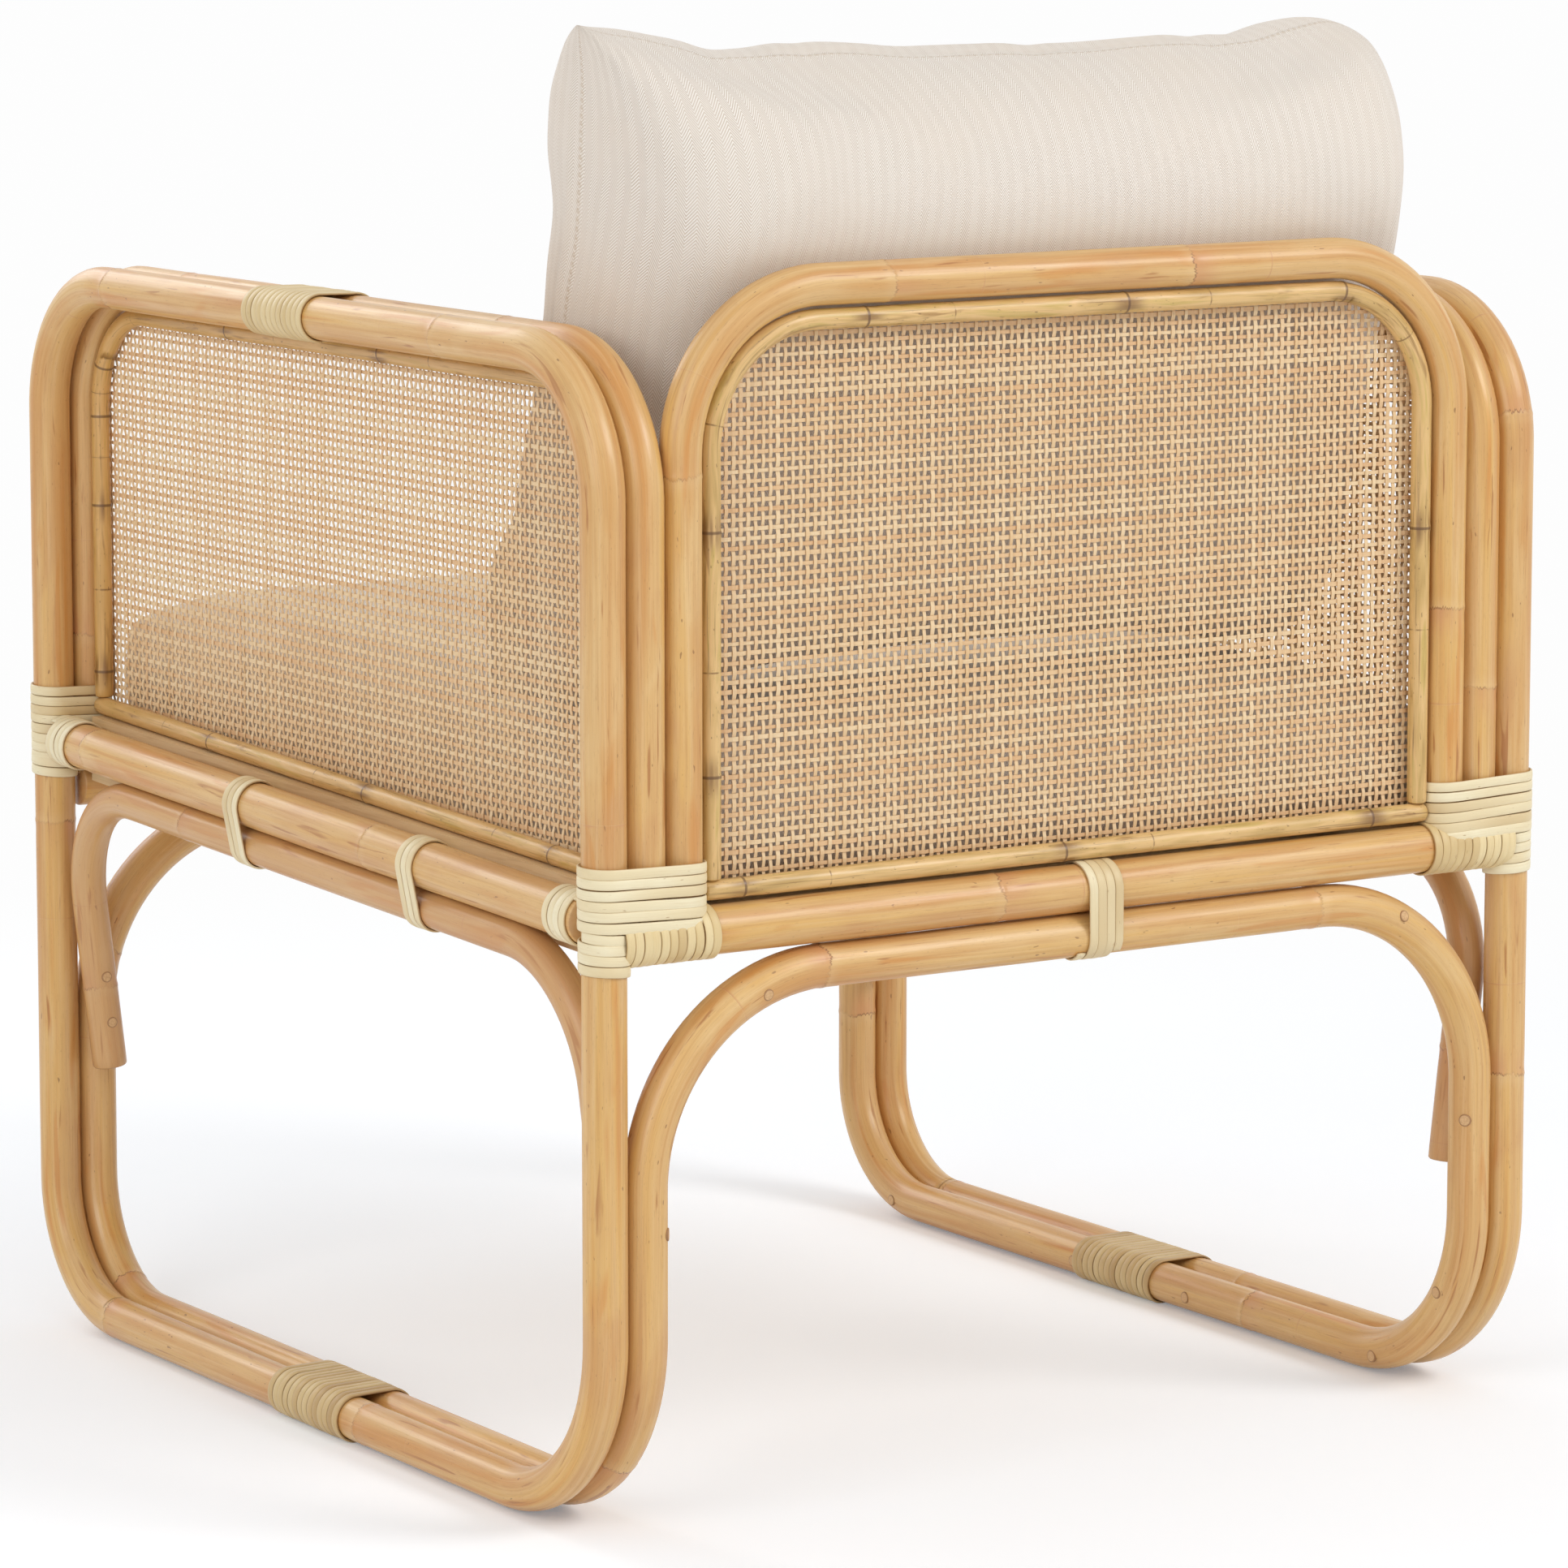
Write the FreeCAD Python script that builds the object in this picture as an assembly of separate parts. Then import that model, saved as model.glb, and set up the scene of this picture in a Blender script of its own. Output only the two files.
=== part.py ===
import FreeCAD, Part
import math
import os

# Rattan accent chair in millimetres. It faces -Y, the sitter's left is +X, and the floor is Z zero.

V = FreeCAD.Vector
os.makedirs("parts", exist_ok=True)

# Pole diameters
loop_pole = 26.0
arm_pole = 25.0
under_pole = 26.0
side_rail_pole = 28.5
cross_rail_pole = 29.0
side_arch_pole = 22.6
back_frame_pole = 24.4
bead_pole = 11.5
sill_pole = 12.0

# Centre lines of the frame, whose width follows from the seat cushion
leg_y = 337.0
arm_z = 674.0
back_top_z = 709.0
cross_rail_z = 348.3
side_rail_front_z = 380.3
side_rail_rear_z = 357.4
side_arch_front_foot_z = 167.0
side_arch_rear_foot_z = 147.0
side_arch_lean = 22.0
side_arch_inset = 2.0

# Bend radii at the centre lines
top_bend = 82.0
front_foot_bend = 80.0
rear_foot_bend = 105.0
under_arch_bend = 118.0
side_arch_bend = 78.0
back_bend = 92.0

# Clearances between seated pieces, and how far a cutter overruns
joint_gap = 0.3
wrap_gap = 0.2
overrun = 5.0

# Peel binding: a flat strip, its pitch, and how deep the floor wears it flat
strip_wide = 5.6
strip_thick = 1.6
strip_pitch = 6.1
floor_wear = 0.5
arm_binding_y = -20.0
runner_binding_left_y = 5.0
runner_binding_right_y = -17.0
side_tie_rear_y = 137.0
side_tie_front_y = -75.0
cross_tie_x = -11.0
leg_wrap_rear = 36.0
leg_wrap_front = 12.0
side_rail_wrap = 30.0
cross_rail_wrap = 45.0
cross_rail_wrap_inset = 20.0

# Turns of each binding
arm_turns = 12
runner_turns = 14
rear_corner_turns = 4
front_corner_turns = 8
side_tie_turns = 3
cross_tie_turns = 4

# Cane sheets, and how far they reach under their beads
cane_thick = 1.2
cane_lap = 3.0

# Seat deck: rebated bearers along the side rails, and slats between them
bearer_wide = 22.0
ledge_reach = 14.0
ledge_thick = 9.0
deck_drop = 8.0
slat_thick = 10.0
slat_wide = 55.0
slat_count = 7

# Seat cushion, in the plane of the sloping deck: its crown rises over the last part of its height
seat_cushion_wide = 560.6
seat_cushion_front = 340.0
seat_cushion_rear = 318.0
seat_cushion_high = 107.0
seat_cushion_corner = 34.0
seat_crown_run = 135.0
cushion_side_gap = 3.03
seat_draw_share = 0.011
seat_level_shares = (0.0, 0.112, 0.28, 0.43, 0.58, 0.748, 0.85, 0.925, 0.972, 1.0)
seat_inset_shares = (0.104, 0.026, 0.0074, 0.0, 0.0074, 0.026, 0.096, 0.311, 0.607, 1.0)

# Back cushion: a knife-edged cushion whose seam lies between its front and its deeper rear
back_cushion_extra = 6.4
back_cushion_high = 413.0
back_cushion_rear = 94.0
back_cushion_front = 60.0
back_swell_run = 130.0
back_cushion_recline = 14.6
back_side_draw_share = 0.028
back_top_draw_share = 0.024
back_foot_draw_share = 0.032
back_inset_shares = (0.0, 0.03, 0.115, 0.27, 0.54, 1.0)
back_depth_shares = (0.0, 0.3, 0.56, 0.77, 0.92, 1.0)
settle_steps = 6

# How finely round forms are cut
pole_sides = 16
bead_sides = 12
bend_kinks = 6
wrap_kinks = 4
bow_runs = 6
corner_runs = 3

# How thick a wound strip lies on its poles
wrap_build = wrap_gap + strip_thick


def reach(radius):
    """How far the corners of a strip stand out from the axis of the pole that it goes round."""
    return (radius + wrap_build) / math.cos(math.pi / (2 * wrap_kinks))


# Places that follow from the sizes above
bearer_outside = seat_cushion_wide / 2 + cushion_side_gap + bearer_wide
loop_x = bearer_outside + joint_gap + reach(side_rail_pole / 2)
back_cushion_wide = seat_cushion_wide + back_cushion_extra
under_x = loop_x - loop_pole / 2 - joint_gap - under_pole / 2
arm_x = loop_x - loop_pole / 2 - joint_gap - arm_pole / 2
back_x = arm_x - arm_pole / 2 - joint_gap - back_frame_pole / 2
runner_z = loop_pole / 2 + wrap_build - floor_wear
under_arch_z = cross_rail_z - cross_rail_pole / 2 - joint_gap - under_pole / 2
rail_top = side_rail_pole / 2
side_arch_drop = rail_top + joint_gap + side_arch_pole / 2
side_arch_y = leg_y - under_pole / 2 - joint_gap - side_arch_pole / 2
rail_end_room = loop_pole / 2 + wrap_build + joint_gap
sill_rise = wrap_build + wrap_gap
bead_offset = loop_pole / 2 + wrap_build + wrap_gap + bead_pole / 2
seat_slope = math.atan2(side_rail_front_z - side_rail_rear_z, 2 * leg_y)
seat_line = V(0, math.cos(seat_slope), -math.sin(seat_slope))
across = V(1, 0, 0)
along = V(0, 1, 0)
up = V(0, 0, 1)


def rail_z(y):
    """Height of a side rail's centre line."""
    return side_rail_rear_z + (leg_y - y) * math.tan(seat_slope)


def rounded(points, radii):
    """The route through the points, with each corner turned in short straight runs round its radius."""
    route = [points[0]]
    for before, corner, after, radius in zip(points, points[1:], points[2:], radii):
        back = (before - corner).normalize()
        ahead = (after - corner).normalize()
        half = back.getAngle(ahead) / 2
        centre = corner + (back + ahead).normalize() * (radius / math.sin(half))
        first = (corner + back * (radius / math.tan(half)) - centre).normalize()
        step = (math.pi - 2 * half) / bend_kinks
        for kink in range(bend_kinks):
            angle = step * (kink + 0.5)
            spoke = first * math.cos(angle) - back * math.sin(angle)
            route.append(centre + spoke * (radius / math.cos(step / 2)))
    return route + [points[-1]]


def ring(centre, direction, diameter, sides):
    """A pole's cross-section, with its corners on the pole's circle."""
    turn = FreeCAD.Rotation(up, direction)
    step = 2 * math.pi / sides
    corners = []
    for side in range(sides):
        corner = V(math.cos(side * step), math.sin(side * step), 0) * (diameter / 2)
        corners.append(centre + turn.multVec(corner))
    return Part.makePolygon(corners + corners[:1])


def swept(profile, route):
    """A closed profile carried along straight runs that meet in mitres."""
    mitred = 1
    return Part.makePolygon(route).makePipeShell([profile], True, False, mitred)


def pole(points, radii, diameter, sides=pole_sides):
    """A round pole through the points, bent at the inner ones."""
    route = rounded(points, radii)
    return swept(ring(route[0], route[1] - route[0], diameter, sides), route)


def cope(start, end, radius):
    """A cutter whose flats clear a pole of this radius, run past both ends."""
    line = (end - start).normalize()
    corner_radius = radius / math.cos(math.pi / pole_sides)
    return pole([start - line * overrun, end + line * overrun], [], 2 * corner_radius)


def flat_faced(shape):
    """The same solid on plane faces with straight edges, for a loft whose every face is flat."""
    faces = []
    for face in shape.Faces:
        corners = [vertex.Point for vertex in face.OuterWire.OrderedVertexes]
        faces.append(Part.Face(Part.makePolygon(corners + corners[:1])))
    return Part.Solid(Part.Shell(faces))


def mirrored(shape):
    """The same piece on the other side of the chair."""
    return shape.mirror(V(0, 0, 0), across)


def sloped_box(x, y, wide, long, low, high):
    """A bar on the slope of the seat, by its heights over the side rails' centre line."""
    middle = V(x, y, rail_z(y))
    rise = across.cross(seat_line)
    corners = []
    for side, height in ((-wide / 2, low), (wide / 2, low), (wide / 2, high), (-wide / 2, high)):
        corners.append(middle + across * side + rise * height - seat_line * (long / 2))
    return Part.Face(Part.makePolygon(corners + corners[:1])).extrude(seat_line * long)


def turn_points(centre_u, radius, first, last):
    """Half a turn round one pole: tangent point, corners, tangent point, in the plane of the turn."""
    step = (last - first) / wrap_kinks
    points = [(centre_u + radius * math.cos(first), radius * math.sin(first))]
    for kink in range(wrap_kinks):
        angle = first + step * (kink + 0.5)
        outer = radius / math.cos(step / 2)
        points.append((centre_u + outer * math.cos(angle), outer * math.sin(angle)))
    return points + [(centre_u + radius * math.cos(last), radius * math.sin(last))]


def binding_route(pole_a, pole_b, diameter_a, diameter_b, line, turns):
    """The middle of a strip wound round two poles, climbing half a pitch on each straight between them."""
    across_poles = pole_b - pole_a
    spacing = across_poles.Length
    u_axis = across_poles.normalize()
    v_axis = line.cross(u_axis)
    radius_a = diameter_a / 2 + wrap_gap + strip_thick / 2
    radius_b = diameter_b / 2 + wrap_gap + strip_thick / 2
    tangent = math.acos((radius_a - radius_b) / spacing)
    far = turn_points(spacing, radius_b, -tangent, tangent)
    near = turn_points(0, radius_a, tangent, 2 * math.pi - tangent)
    route = []
    for half in range(2 * turns):
        climb = line * (half * strip_pitch / 2)
        for u, v in (near if half % 2 else far):
            route.append(pole_a + u_axis * u + v_axis * v + climb)
    return route


def least_gap(route):
    """Clear width between neighbouring turns, measured on points along the strip's middle."""
    samples_per_run = 4
    turn_runs = 2 * (wrap_kinks + 2)
    samples = []
    for start, end in zip(route, route[1:]):
        for sample in range(samples_per_run):
            samples.append(start + (end - start) * (sample / samples_per_run))
    half_turn = turn_runs * samples_per_run // 2
    nearest = strip_pitch
    for index, point in enumerate(samples):
        for other in samples[index + half_turn:index + 3 * half_turn]:
            nearest = min(nearest, (point - other).Length)
    return nearest - strip_wide


def binding(pole_a, pole_b, diameter_a, diameter_b, line, turns):
    """One unbroken strip wound round two poles."""
    route = binding_route(pole_a, pole_b, diameter_a, diameter_b, line, turns)
    start_line = (route[1] - route[0]).normalize()
    out = start_line.cross(line).normalize() * (strip_thick / 2)
    side = line * (strip_wide / 2)
    start = route[0]
    corners = [start + out + side, start - out + side, start - out - side, start + out - side]
    print("binding turns", turns, "least gap", round(least_gap(route), 2))
    return swept(Part.makePolygon(corners + corners[:1]), route)


def sleeve(start, end, diameter):
    """A plain sleeve where the strip goes round one pole alone."""
    sides = 2 * wrap_kinks
    corner = math.cos(math.pi / sides)
    outer = pole([start, end], [], (diameter + 2 * wrap_build) / corner, sides)
    line = (end - start).normalize() * overrun
    bore = pole([start - line, end + line], [], (diameter + 2 * wrap_gap) / corner, sides)
    return outer.cut(bore)


def loops_and_arms():
    """On each side an outer pole bent into a closed loop, and an arm pole inside its top."""
    seam = V(loop_x, arm_binding_y + joint_gap / 2, arm_z)
    corners = [
        seam,
        V(loop_x, leg_y, arm_z),
        V(loop_x, leg_y, runner_z),
        V(loop_x, -leg_y, runner_z),
        V(loop_x, -leg_y, arm_z),
        V(loop_x, arm_binding_y - joint_gap / 2, arm_z),
    ]
    loop = pole(corners, [top_bend, rear_foot_bend, front_foot_bend, top_bend], loop_pole)
    arm_corners = [
        V(arm_x, leg_y, cross_rail_z),
        V(arm_x, leg_y, arm_z),
        V(arm_x, -leg_y, arm_z),
        V(arm_x, -leg_y, cross_rail_z),
    ]
    arm = pole(arm_corners, [top_bend, top_bend], arm_pole)
    for y in (leg_y, -leg_y):
        end = V(loop_x, y, cross_rail_z)
        arm = arm.cut(cope(V(-loop_x, y, cross_rail_z), end, cross_rail_pole / 2 + joint_gap))
    return {"loop_left": loop, "loop_right": mirrored(loop), "arm_pole_left": arm, "arm_pole_right": mirrored(arm)}


def under_poles():
    """Front and rear: one pole that runs along a runner, up a leg, under the rail, and back the same way."""
    poles = {}
    joints = (runner_binding_left_y, runner_binding_right_y)
    for name, y, foot_bend in (("rear", leg_y, rear_foot_bend), ("front", -leg_y, front_foot_bend)):
        side = math.copysign(joint_gap / 2, y)
        corners = [
            V(under_x, joints[0] + side, runner_z),
            V(under_x, y, runner_z),
            V(under_x, y, under_arch_z),
            V(-under_x, y, under_arch_z),
            V(-under_x, y, runner_z),
            V(-under_x, joints[1] + side, runner_z),
        ]
        radii = [foot_bend, under_arch_bend, under_arch_bend, foot_bend]
        poles["under_pole_" + name] = pole(corners, radii, under_pole)
    return poles


def rails():
    """Sloping side rails between the legs, and the level front and back rails, coped round the wrapped legs."""
    leg_room = reach(loop_pole / 2) + joint_gap
    cutters = []
    for y in (leg_y, -leg_y):
        cutters.append(cope(V(loop_x, y, 0), V(loop_x, y, arm_z), leg_room))
    end_y = leg_y - rail_end_room
    ends = [V(loop_x, -end_y, rail_z(-end_y)), V(loop_x, end_y, rail_z(end_y))]
    side_rail = pole(ends, [], side_rail_pole).cut(cutters[0]).cut(cutters[1])
    end_x = loop_x - rail_end_room
    shapes = {"side_rail_left": side_rail, "side_rail_right": mirrored(side_rail)}
    for name, y, cutter in (("back_rail", leg_y, cutters[0]), ("front_rail", -leg_y, cutters[1])):
        rail = pole([V(-end_x, y, cross_rail_z), V(end_x, y, cross_rail_z)], [], cross_rail_pole)
        shapes[name] = rail.cut(cutter).cut(mirrored(cutter))
    return shapes


def side_arches():
    """On each side a thinner pole bent under the side rail, leaning inboard to its plugged feet."""
    top_x = loop_x - side_arch_inset
    foot_x = top_x - side_arch_lean
    corners = [
        V(foot_x, side_arch_y, side_arch_rear_foot_z),
        V(top_x, side_arch_y, rail_z(side_arch_y) - side_arch_drop),
        V(top_x, -side_arch_y, rail_z(-side_arch_y) - side_arch_drop),
        V(foot_x, -side_arch_y, side_arch_front_foot_z),
    ]
    arch = pole(corners, [side_arch_bend, side_arch_bend], side_arch_pole)
    return {"side_arch_left": arch, "side_arch_right": mirrored(arch)}


def panel_outline(plane_points, radii):
    """Face inside a bent centre line, closed along its foot."""
    route = rounded(plane_points, radii)
    return Part.Face(Part.makePolygon(route + route[:1]))


def back_panel():
    """The bent back frame pole, with a cane sheet held by a bead and a sill."""
    rail_room = cross_rail_pole / 2 + joint_gap
    rail_cutter = cope(V(-loop_x, leg_y, cross_rail_z), V(loop_x, leg_y, cross_rail_z), rail_room)
    frame_corners = [
        V(-back_x, leg_y, cross_rail_z),
        V(-back_x, leg_y, back_top_z),
        V(back_x, leg_y, back_top_z),
        V(back_x, leg_y, cross_rail_z),
    ]
    frame = pole(frame_corners, [back_bend, back_bend], back_frame_pole).cut(rail_cutter)
    bead_x = back_x - bead_offset
    bead_top = back_top_z - bead_offset
    bead_bend = back_bend - bead_offset
    bead_corners = [
        V(-bead_x, leg_y, cross_rail_z),
        V(-bead_x, leg_y, bead_top),
        V(bead_x, leg_y, bead_top),
        V(bead_x, leg_y, cross_rail_z),
    ]
    bead = pole(bead_corners, [bead_bend, bead_bend], bead_pole, bead_sides).cut(rail_cutter)
    sill_x = bead_x - bead_pole / 2 - joint_gap
    sill_z = cross_rail_z + cross_rail_pole / 2 + sill_rise + sill_pole / 2
    sill = pole([V(-sill_x, leg_y, sill_z), V(sill_x, leg_y, sill_z)], [], sill_pole, bead_sides)
    sheet_y = leg_y - sill_pole / 2 - joint_gap - cane_thick
    sheet_x = bead_x + cane_lap
    sheet_foot = cross_rail_z + cross_rail_pole / 2 + sill_rise
    sheet_corners = [
        V(-sheet_x, sheet_y, sheet_foot),
        V(-sheet_x, sheet_y, bead_top + cane_lap),
        V(sheet_x, sheet_y, bead_top + cane_lap),
        V(sheet_x, sheet_y, sheet_foot),
    ]
    sheet_bend = bead_bend + cane_lap
    sheet = panel_outline(sheet_corners, [sheet_bend, sheet_bend]).extrude(along * cane_thick)
    return {"back_frame_pole": frame, "back_bead": bead, "back_sill": sill, "back_cane": sheet}


def side_panels():
    """Under each arm a cane sheet held by a bead and a sloping sill that stand on the seat bearer."""
    bead_y = leg_y - bead_offset
    bead_top = arm_z - bead_offset
    bead_bend = top_bend - bead_offset
    seat_top = rail_top + joint_gap
    bead_corners = [
        V(under_x, bead_y, rail_z(bead_y)),
        V(under_x, bead_y, bead_top),
        V(under_x, -bead_y, bead_top),
        V(under_x, -bead_y, rail_z(-bead_y)),
    ]
    below = sloped_box(under_x, 0, 2 * bead_pole, 2 * leg_y, -2 * rail_top, seat_top)
    bead = pole(bead_corners, [bead_bend, bead_bend], bead_pole, bead_sides).cut(below)
    sill_y = bead_y - bead_pole / 2 - joint_gap
    rise = (seat_top + sill_pole / 2) / math.cos(seat_slope)
    sill_ends = [V(under_x, -sill_y, rail_z(-sill_y) + rise), V(under_x, sill_y, rail_z(sill_y) + rise)]
    sill = pole(sill_ends, [], sill_pole, bead_sides)
    sheet_x = under_x - sill_pole / 2 - joint_gap - cane_thick
    sheet_y = bead_y + cane_lap
    sheet_corners = [
        V(sheet_x, sheet_y, rail_z(sheet_y)),
        V(sheet_x, sheet_y, bead_top + cane_lap),
        V(sheet_x, -sheet_y, bead_top + cane_lap),
        V(sheet_x, -sheet_y, rail_z(-sheet_y)),
    ]
    sheet_bend = bead_bend + cane_lap
    sheet = panel_outline(sheet_corners, [sheet_bend, sheet_bend]).extrude(across * cane_thick).cut(below)
    shapes = {}
    for name, shape in (("bead", bead), ("sill", sill), ("cane", sheet)):
        shapes["left_" + name] = shape
        shapes["right_" + name] = mirrored(shape)
    return shapes


def seat_deck():
    """Rebated bearers beside the side rails, and the slats that lie on their ledges."""
    outer = bearer_outside
    inner = outer - bearer_wide
    long = 2 * (leg_y - reach(cross_rail_pole / 2) - joint_gap)
    slat_low = -deck_drop - slat_thick
    ledge_top = slat_low - joint_gap
    foot = ledge_top - ledge_thick
    bearer = sloped_box((outer + inner) / 2, 0, bearer_wide, long, foot, rail_top)
    ledge = sloped_box(inner - ledge_reach / 2, 0, ledge_reach, long, foot, ledge_top)
    bearer = bearer.fuse(ledge).removeSplitter()
    shapes = {"seat_bearer_left": bearer, "seat_bearer_right": mirrored(bearer)}
    first = long / 2 - slat_wide / 2
    for index in range(slat_count):
        y = first - 2 * first * index / (slat_count - 1)
        slat = sloped_box(0, y, 2 * (inner - joint_gap), slat_wide, slat_low, -deck_drop)
        shapes["seat_slat_" + str(index + 1)] = slat
    return shapes


def bindings():
    """The wound strips, and the plain sleeves where a strip goes round one pole."""
    shapes = {}
    arm_start = arm_binding_y - (2 * arm_turns - 1) * strip_pitch / 4
    runner_run = (2 * runner_turns - 1) * strip_pitch / 4
    corner_z = cross_rail_z + reach(cross_rail_pole / 2) + wrap_gap + strip_wide / 2
    size = 2 * loop_x
    floor = Part.makeBox(2 * size, 2 * size, overrun, V(-size, -size, -overrun))
    for name, side in (("left", 1), ("right", -1)):
        outer = V(side * loop_x, arm_start, arm_z)
        inner = V(side * arm_x, arm_start, arm_z)
        shapes["arm_binding_" + name] = binding(outer, inner, loop_pole, arm_pole, along, arm_turns)

        middle = runner_binding_left_y if side > 0 else runner_binding_right_y
        outer = V(side * loop_x, middle - runner_run, runner_z)
        inner = V(side * under_x, middle - runner_run, runner_z)
        runner = binding(outer, inner, loop_pole, under_pole, along, runner_turns)
        shapes["runner_binding_" + name] = runner.cut(floor)

        outer = V(side * loop_x, leg_y, corner_z)
        inner = V(side * back_x, leg_y, corner_z)
        rear = binding(outer, inner, loop_pole, back_frame_pole, up, rear_corner_turns)
        shapes["rear_corner_binding_" + name] = rear
        outer = V(side * loop_x, -leg_y, corner_z)
        inner = V(side * arm_x, -leg_y, corner_z)
        front = binding(outer, inner, loop_pole, arm_pole, up, front_corner_turns)
        shapes["front_corner_binding_" + name] = front

        rise = across.cross(seat_line)
        for place, y in (("rear", side_tie_rear_y), ("front", side_tie_front_y)):
            rail = V(side * loop_x, y, rail_z(y))
            arch = V(side * (loop_x - side_arch_inset), y, rail_z(y)) - rise * side_arch_drop
            tie = binding(rail, arch, side_rail_pole, side_arch_pole, seat_line, side_tie_turns)
            shapes["side_tie_" + place + "_" + name] = tie
        shapes.update(leg_and_rail_wraps(name, side))
    for name, y in (("back", leg_y), ("front", -leg_y)):
        rail = V(cross_tie_x, y, cross_rail_z)
        arch = V(cross_tie_x, y, under_arch_z)
        shapes[name + "_tie"] = binding(rail, arch, cross_rail_pole, under_pole, across, cross_tie_turns)
    return shapes


def leg_and_rail_wraps(name, side):
    """Sleeves on one side's legs below the corner bindings, and on the ends of its rails."""
    shapes = {}
    x = side * loop_x
    leg_top = cross_rail_z + reach(cross_rail_pole / 2)
    end = leg_y - reach(loop_pole / 2) - 2 * joint_gap
    for place, sign, long in (("rear", 1, leg_wrap_rear), ("front", -1, leg_wrap_front)):
        y = sign * leg_y
        foot_room = cope(V(side * arm_x, y, 0), V(side * arm_x, y, arm_z), arm_pole / 2 + joint_gap)
        wrap = sleeve(V(x, y, leg_top - long), V(x, y, leg_top), loop_pole)
        shapes[place + "_leg_wrap_" + name] = wrap.cut(foot_room)
        outer = V(x, sign * end, rail_z(sign * end))
        inner = V(x, sign * (end - side_rail_wrap), rail_z(sign * (end - side_rail_wrap)))
        shapes[place + "_side_rail_wrap_" + name] = sleeve(inner, outer, side_rail_pole)
    start = x - side * cross_rail_wrap_inset
    outer = V(start, leg_y, cross_rail_z)
    inner = V(start - side * cross_rail_wrap, leg_y, cross_rail_z)
    wrap = sleeve(inner, outer, cross_rail_pole)
    for foot_x, diameter in ((arm_x, arm_pole), (back_x, back_frame_pole)):
        foot = V(side * foot_x, leg_y, cross_rail_z)
        wrap = wrap.cut(cope(foot, foot + up * cross_rail_pole, diameter / 2 + joint_gap))
    shapes["back_rail_wrap_" + name] = wrap
    return shapes


def bowed(start, end, share):
    """Points of a side that is drawn in to its left by a share of its length, without its last point."""
    side = end - start
    inward = up.cross(side) * (4 * share)
    points = []
    for run in range(bow_runs):
        part = run / bow_runs
        points.append(start + side * part + inward * (part * (1 - part)))
    return points


def seat_ring(level, inset):
    """One level of the seat cushion: drawn-in sides joined by round corners."""
    corner = seat_cushion_corner
    x = seat_cushion_wide / 2 - inset - corner
    front = inset + corner - seat_cushion_front
    rear = seat_cushion_rear - inset - corner
    arcs = []
    for index, centre in enumerate((V(x, front, level), V(x, rear, level), V(-x, rear, level), V(-x, front, level))):
        arc = []
        for run in range(corner_runs + 1):
            angle = math.pi / 2 * (index - 1 + run / corner_runs)
            arc.append(centre + V(math.cos(angle), math.sin(angle), 0) * corner)
        arcs.append(arc)
    points = []
    for arc, following in zip(arcs, arcs[1:] + arcs[:1]):
        points += arc + bowed(arc[-1], following[0], seat_draw_share)[1:]
    return Part.makePolygon(points + points[:1])


def seat_cushion():
    """A boxed cushion with a crown, drawn in along its sides, on the sloping deck."""
    rings = []
    for level, inset in zip(seat_level_shares, seat_inset_shares):
        rings.append(seat_ring(level * seat_cushion_high, inset * seat_crown_run))
    cushion = flat_faced(Part.makeLoft(rings, True, True))
    cushion.rotate(V(0, 0, 0), across, -math.degrees(seat_slope))
    rise = across.cross(seat_line) * (joint_gap - deck_drop)
    return cushion.translated(V(0, 0, rail_z(0)) + rise)


def back_grid(depth):
    """Corners of one panel of the back cushion, whose depth falls away towards its edges and more so in its corners."""
    insets = [share * back_swell_run for share in back_inset_shares]
    lines = []
    for half in (back_cushion_wide / 2, back_cushion_high / 2):
        edge = [inset - half for inset in insets]
        lines.append(edge + [0.0] + [-place for place in reversed(edge)])
    shares = back_depth_shares + (1.0,) + back_depth_shares[::-1]
    rows = []
    for y, y_share in zip(lines[1], shares):
        row = []
        for x, x_share in zip(lines[0], shares):
            u = 2 * x / back_cushion_wide
            v = 2 * y / back_cushion_high
            end_draw = back_top_draw_share if v > 0 else back_foot_draw_share
            side_in = back_side_draw_share * back_cushion_high * (1 - v * v) * u * abs(u)
            end_in = end_draw * back_cushion_wide * (1 - u * u) * v * abs(v)
            row.append(V(x - side_in, y - end_in + back_cushion_high / 2, depth * x_share * y_share))
        rows.append(row)
    return rows


def panel_faces(rows):
    """Flat triangles over a grid, each square split along the diagonal that points to the middle."""
    faces = []
    middle = (len(rows) - 1) / 2
    for i, (low, high) in enumerate(zip(rows, rows[1:])):
        for j, (a, b, c, d) in enumerate(zip(low, low[1:], high[1:], high)):
            towards = (i < middle) == (j < middle)
            for corners in ((a, b, c), (a, c, d)) if towards else ((a, b, d), (b, c, d)):
                faces.append(Part.Face(Part.makePolygon(corners + corners[:1])))
    return faces


def back_cushion(seat):
    """A knife-edged cushion that leans on the back frame pole and stands on the seat cushion."""
    faces = panel_faces(back_grid(-back_cushion_rear)) + panel_faces(back_grid(back_cushion_front))
    shell = Part.Shell(faces)
    shell.sewShape()
    cushion = Part.Solid(shell)
    if cushion.Volume < 0:
        cushion.reverse()
    upright = 90 - back_cushion_recline
    cushion.rotate(V(0, 0, 0), across, upright)
    lean = math.radians(back_cushion_recline)
    lift = V(0, math.sin(lean), math.cos(lean))
    rearward = V(0, math.cos(lean), -math.sin(lean))
    foot = V(0, leg_y, back_top_z) - rearward * (back_cushion_rear + joint_gap + back_frame_pole / 2)
    foot = foot - lift * ((foot.z - seat.BoundBox.ZMax) / lift.z)
    cushion = cushion.translated(foot)
    for _ in range(settle_steps):
        clear = cushion.distToShape(seat)[0]
        cushion = cushion.translated(lift * (joint_gap - clear))
    return cushion


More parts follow.
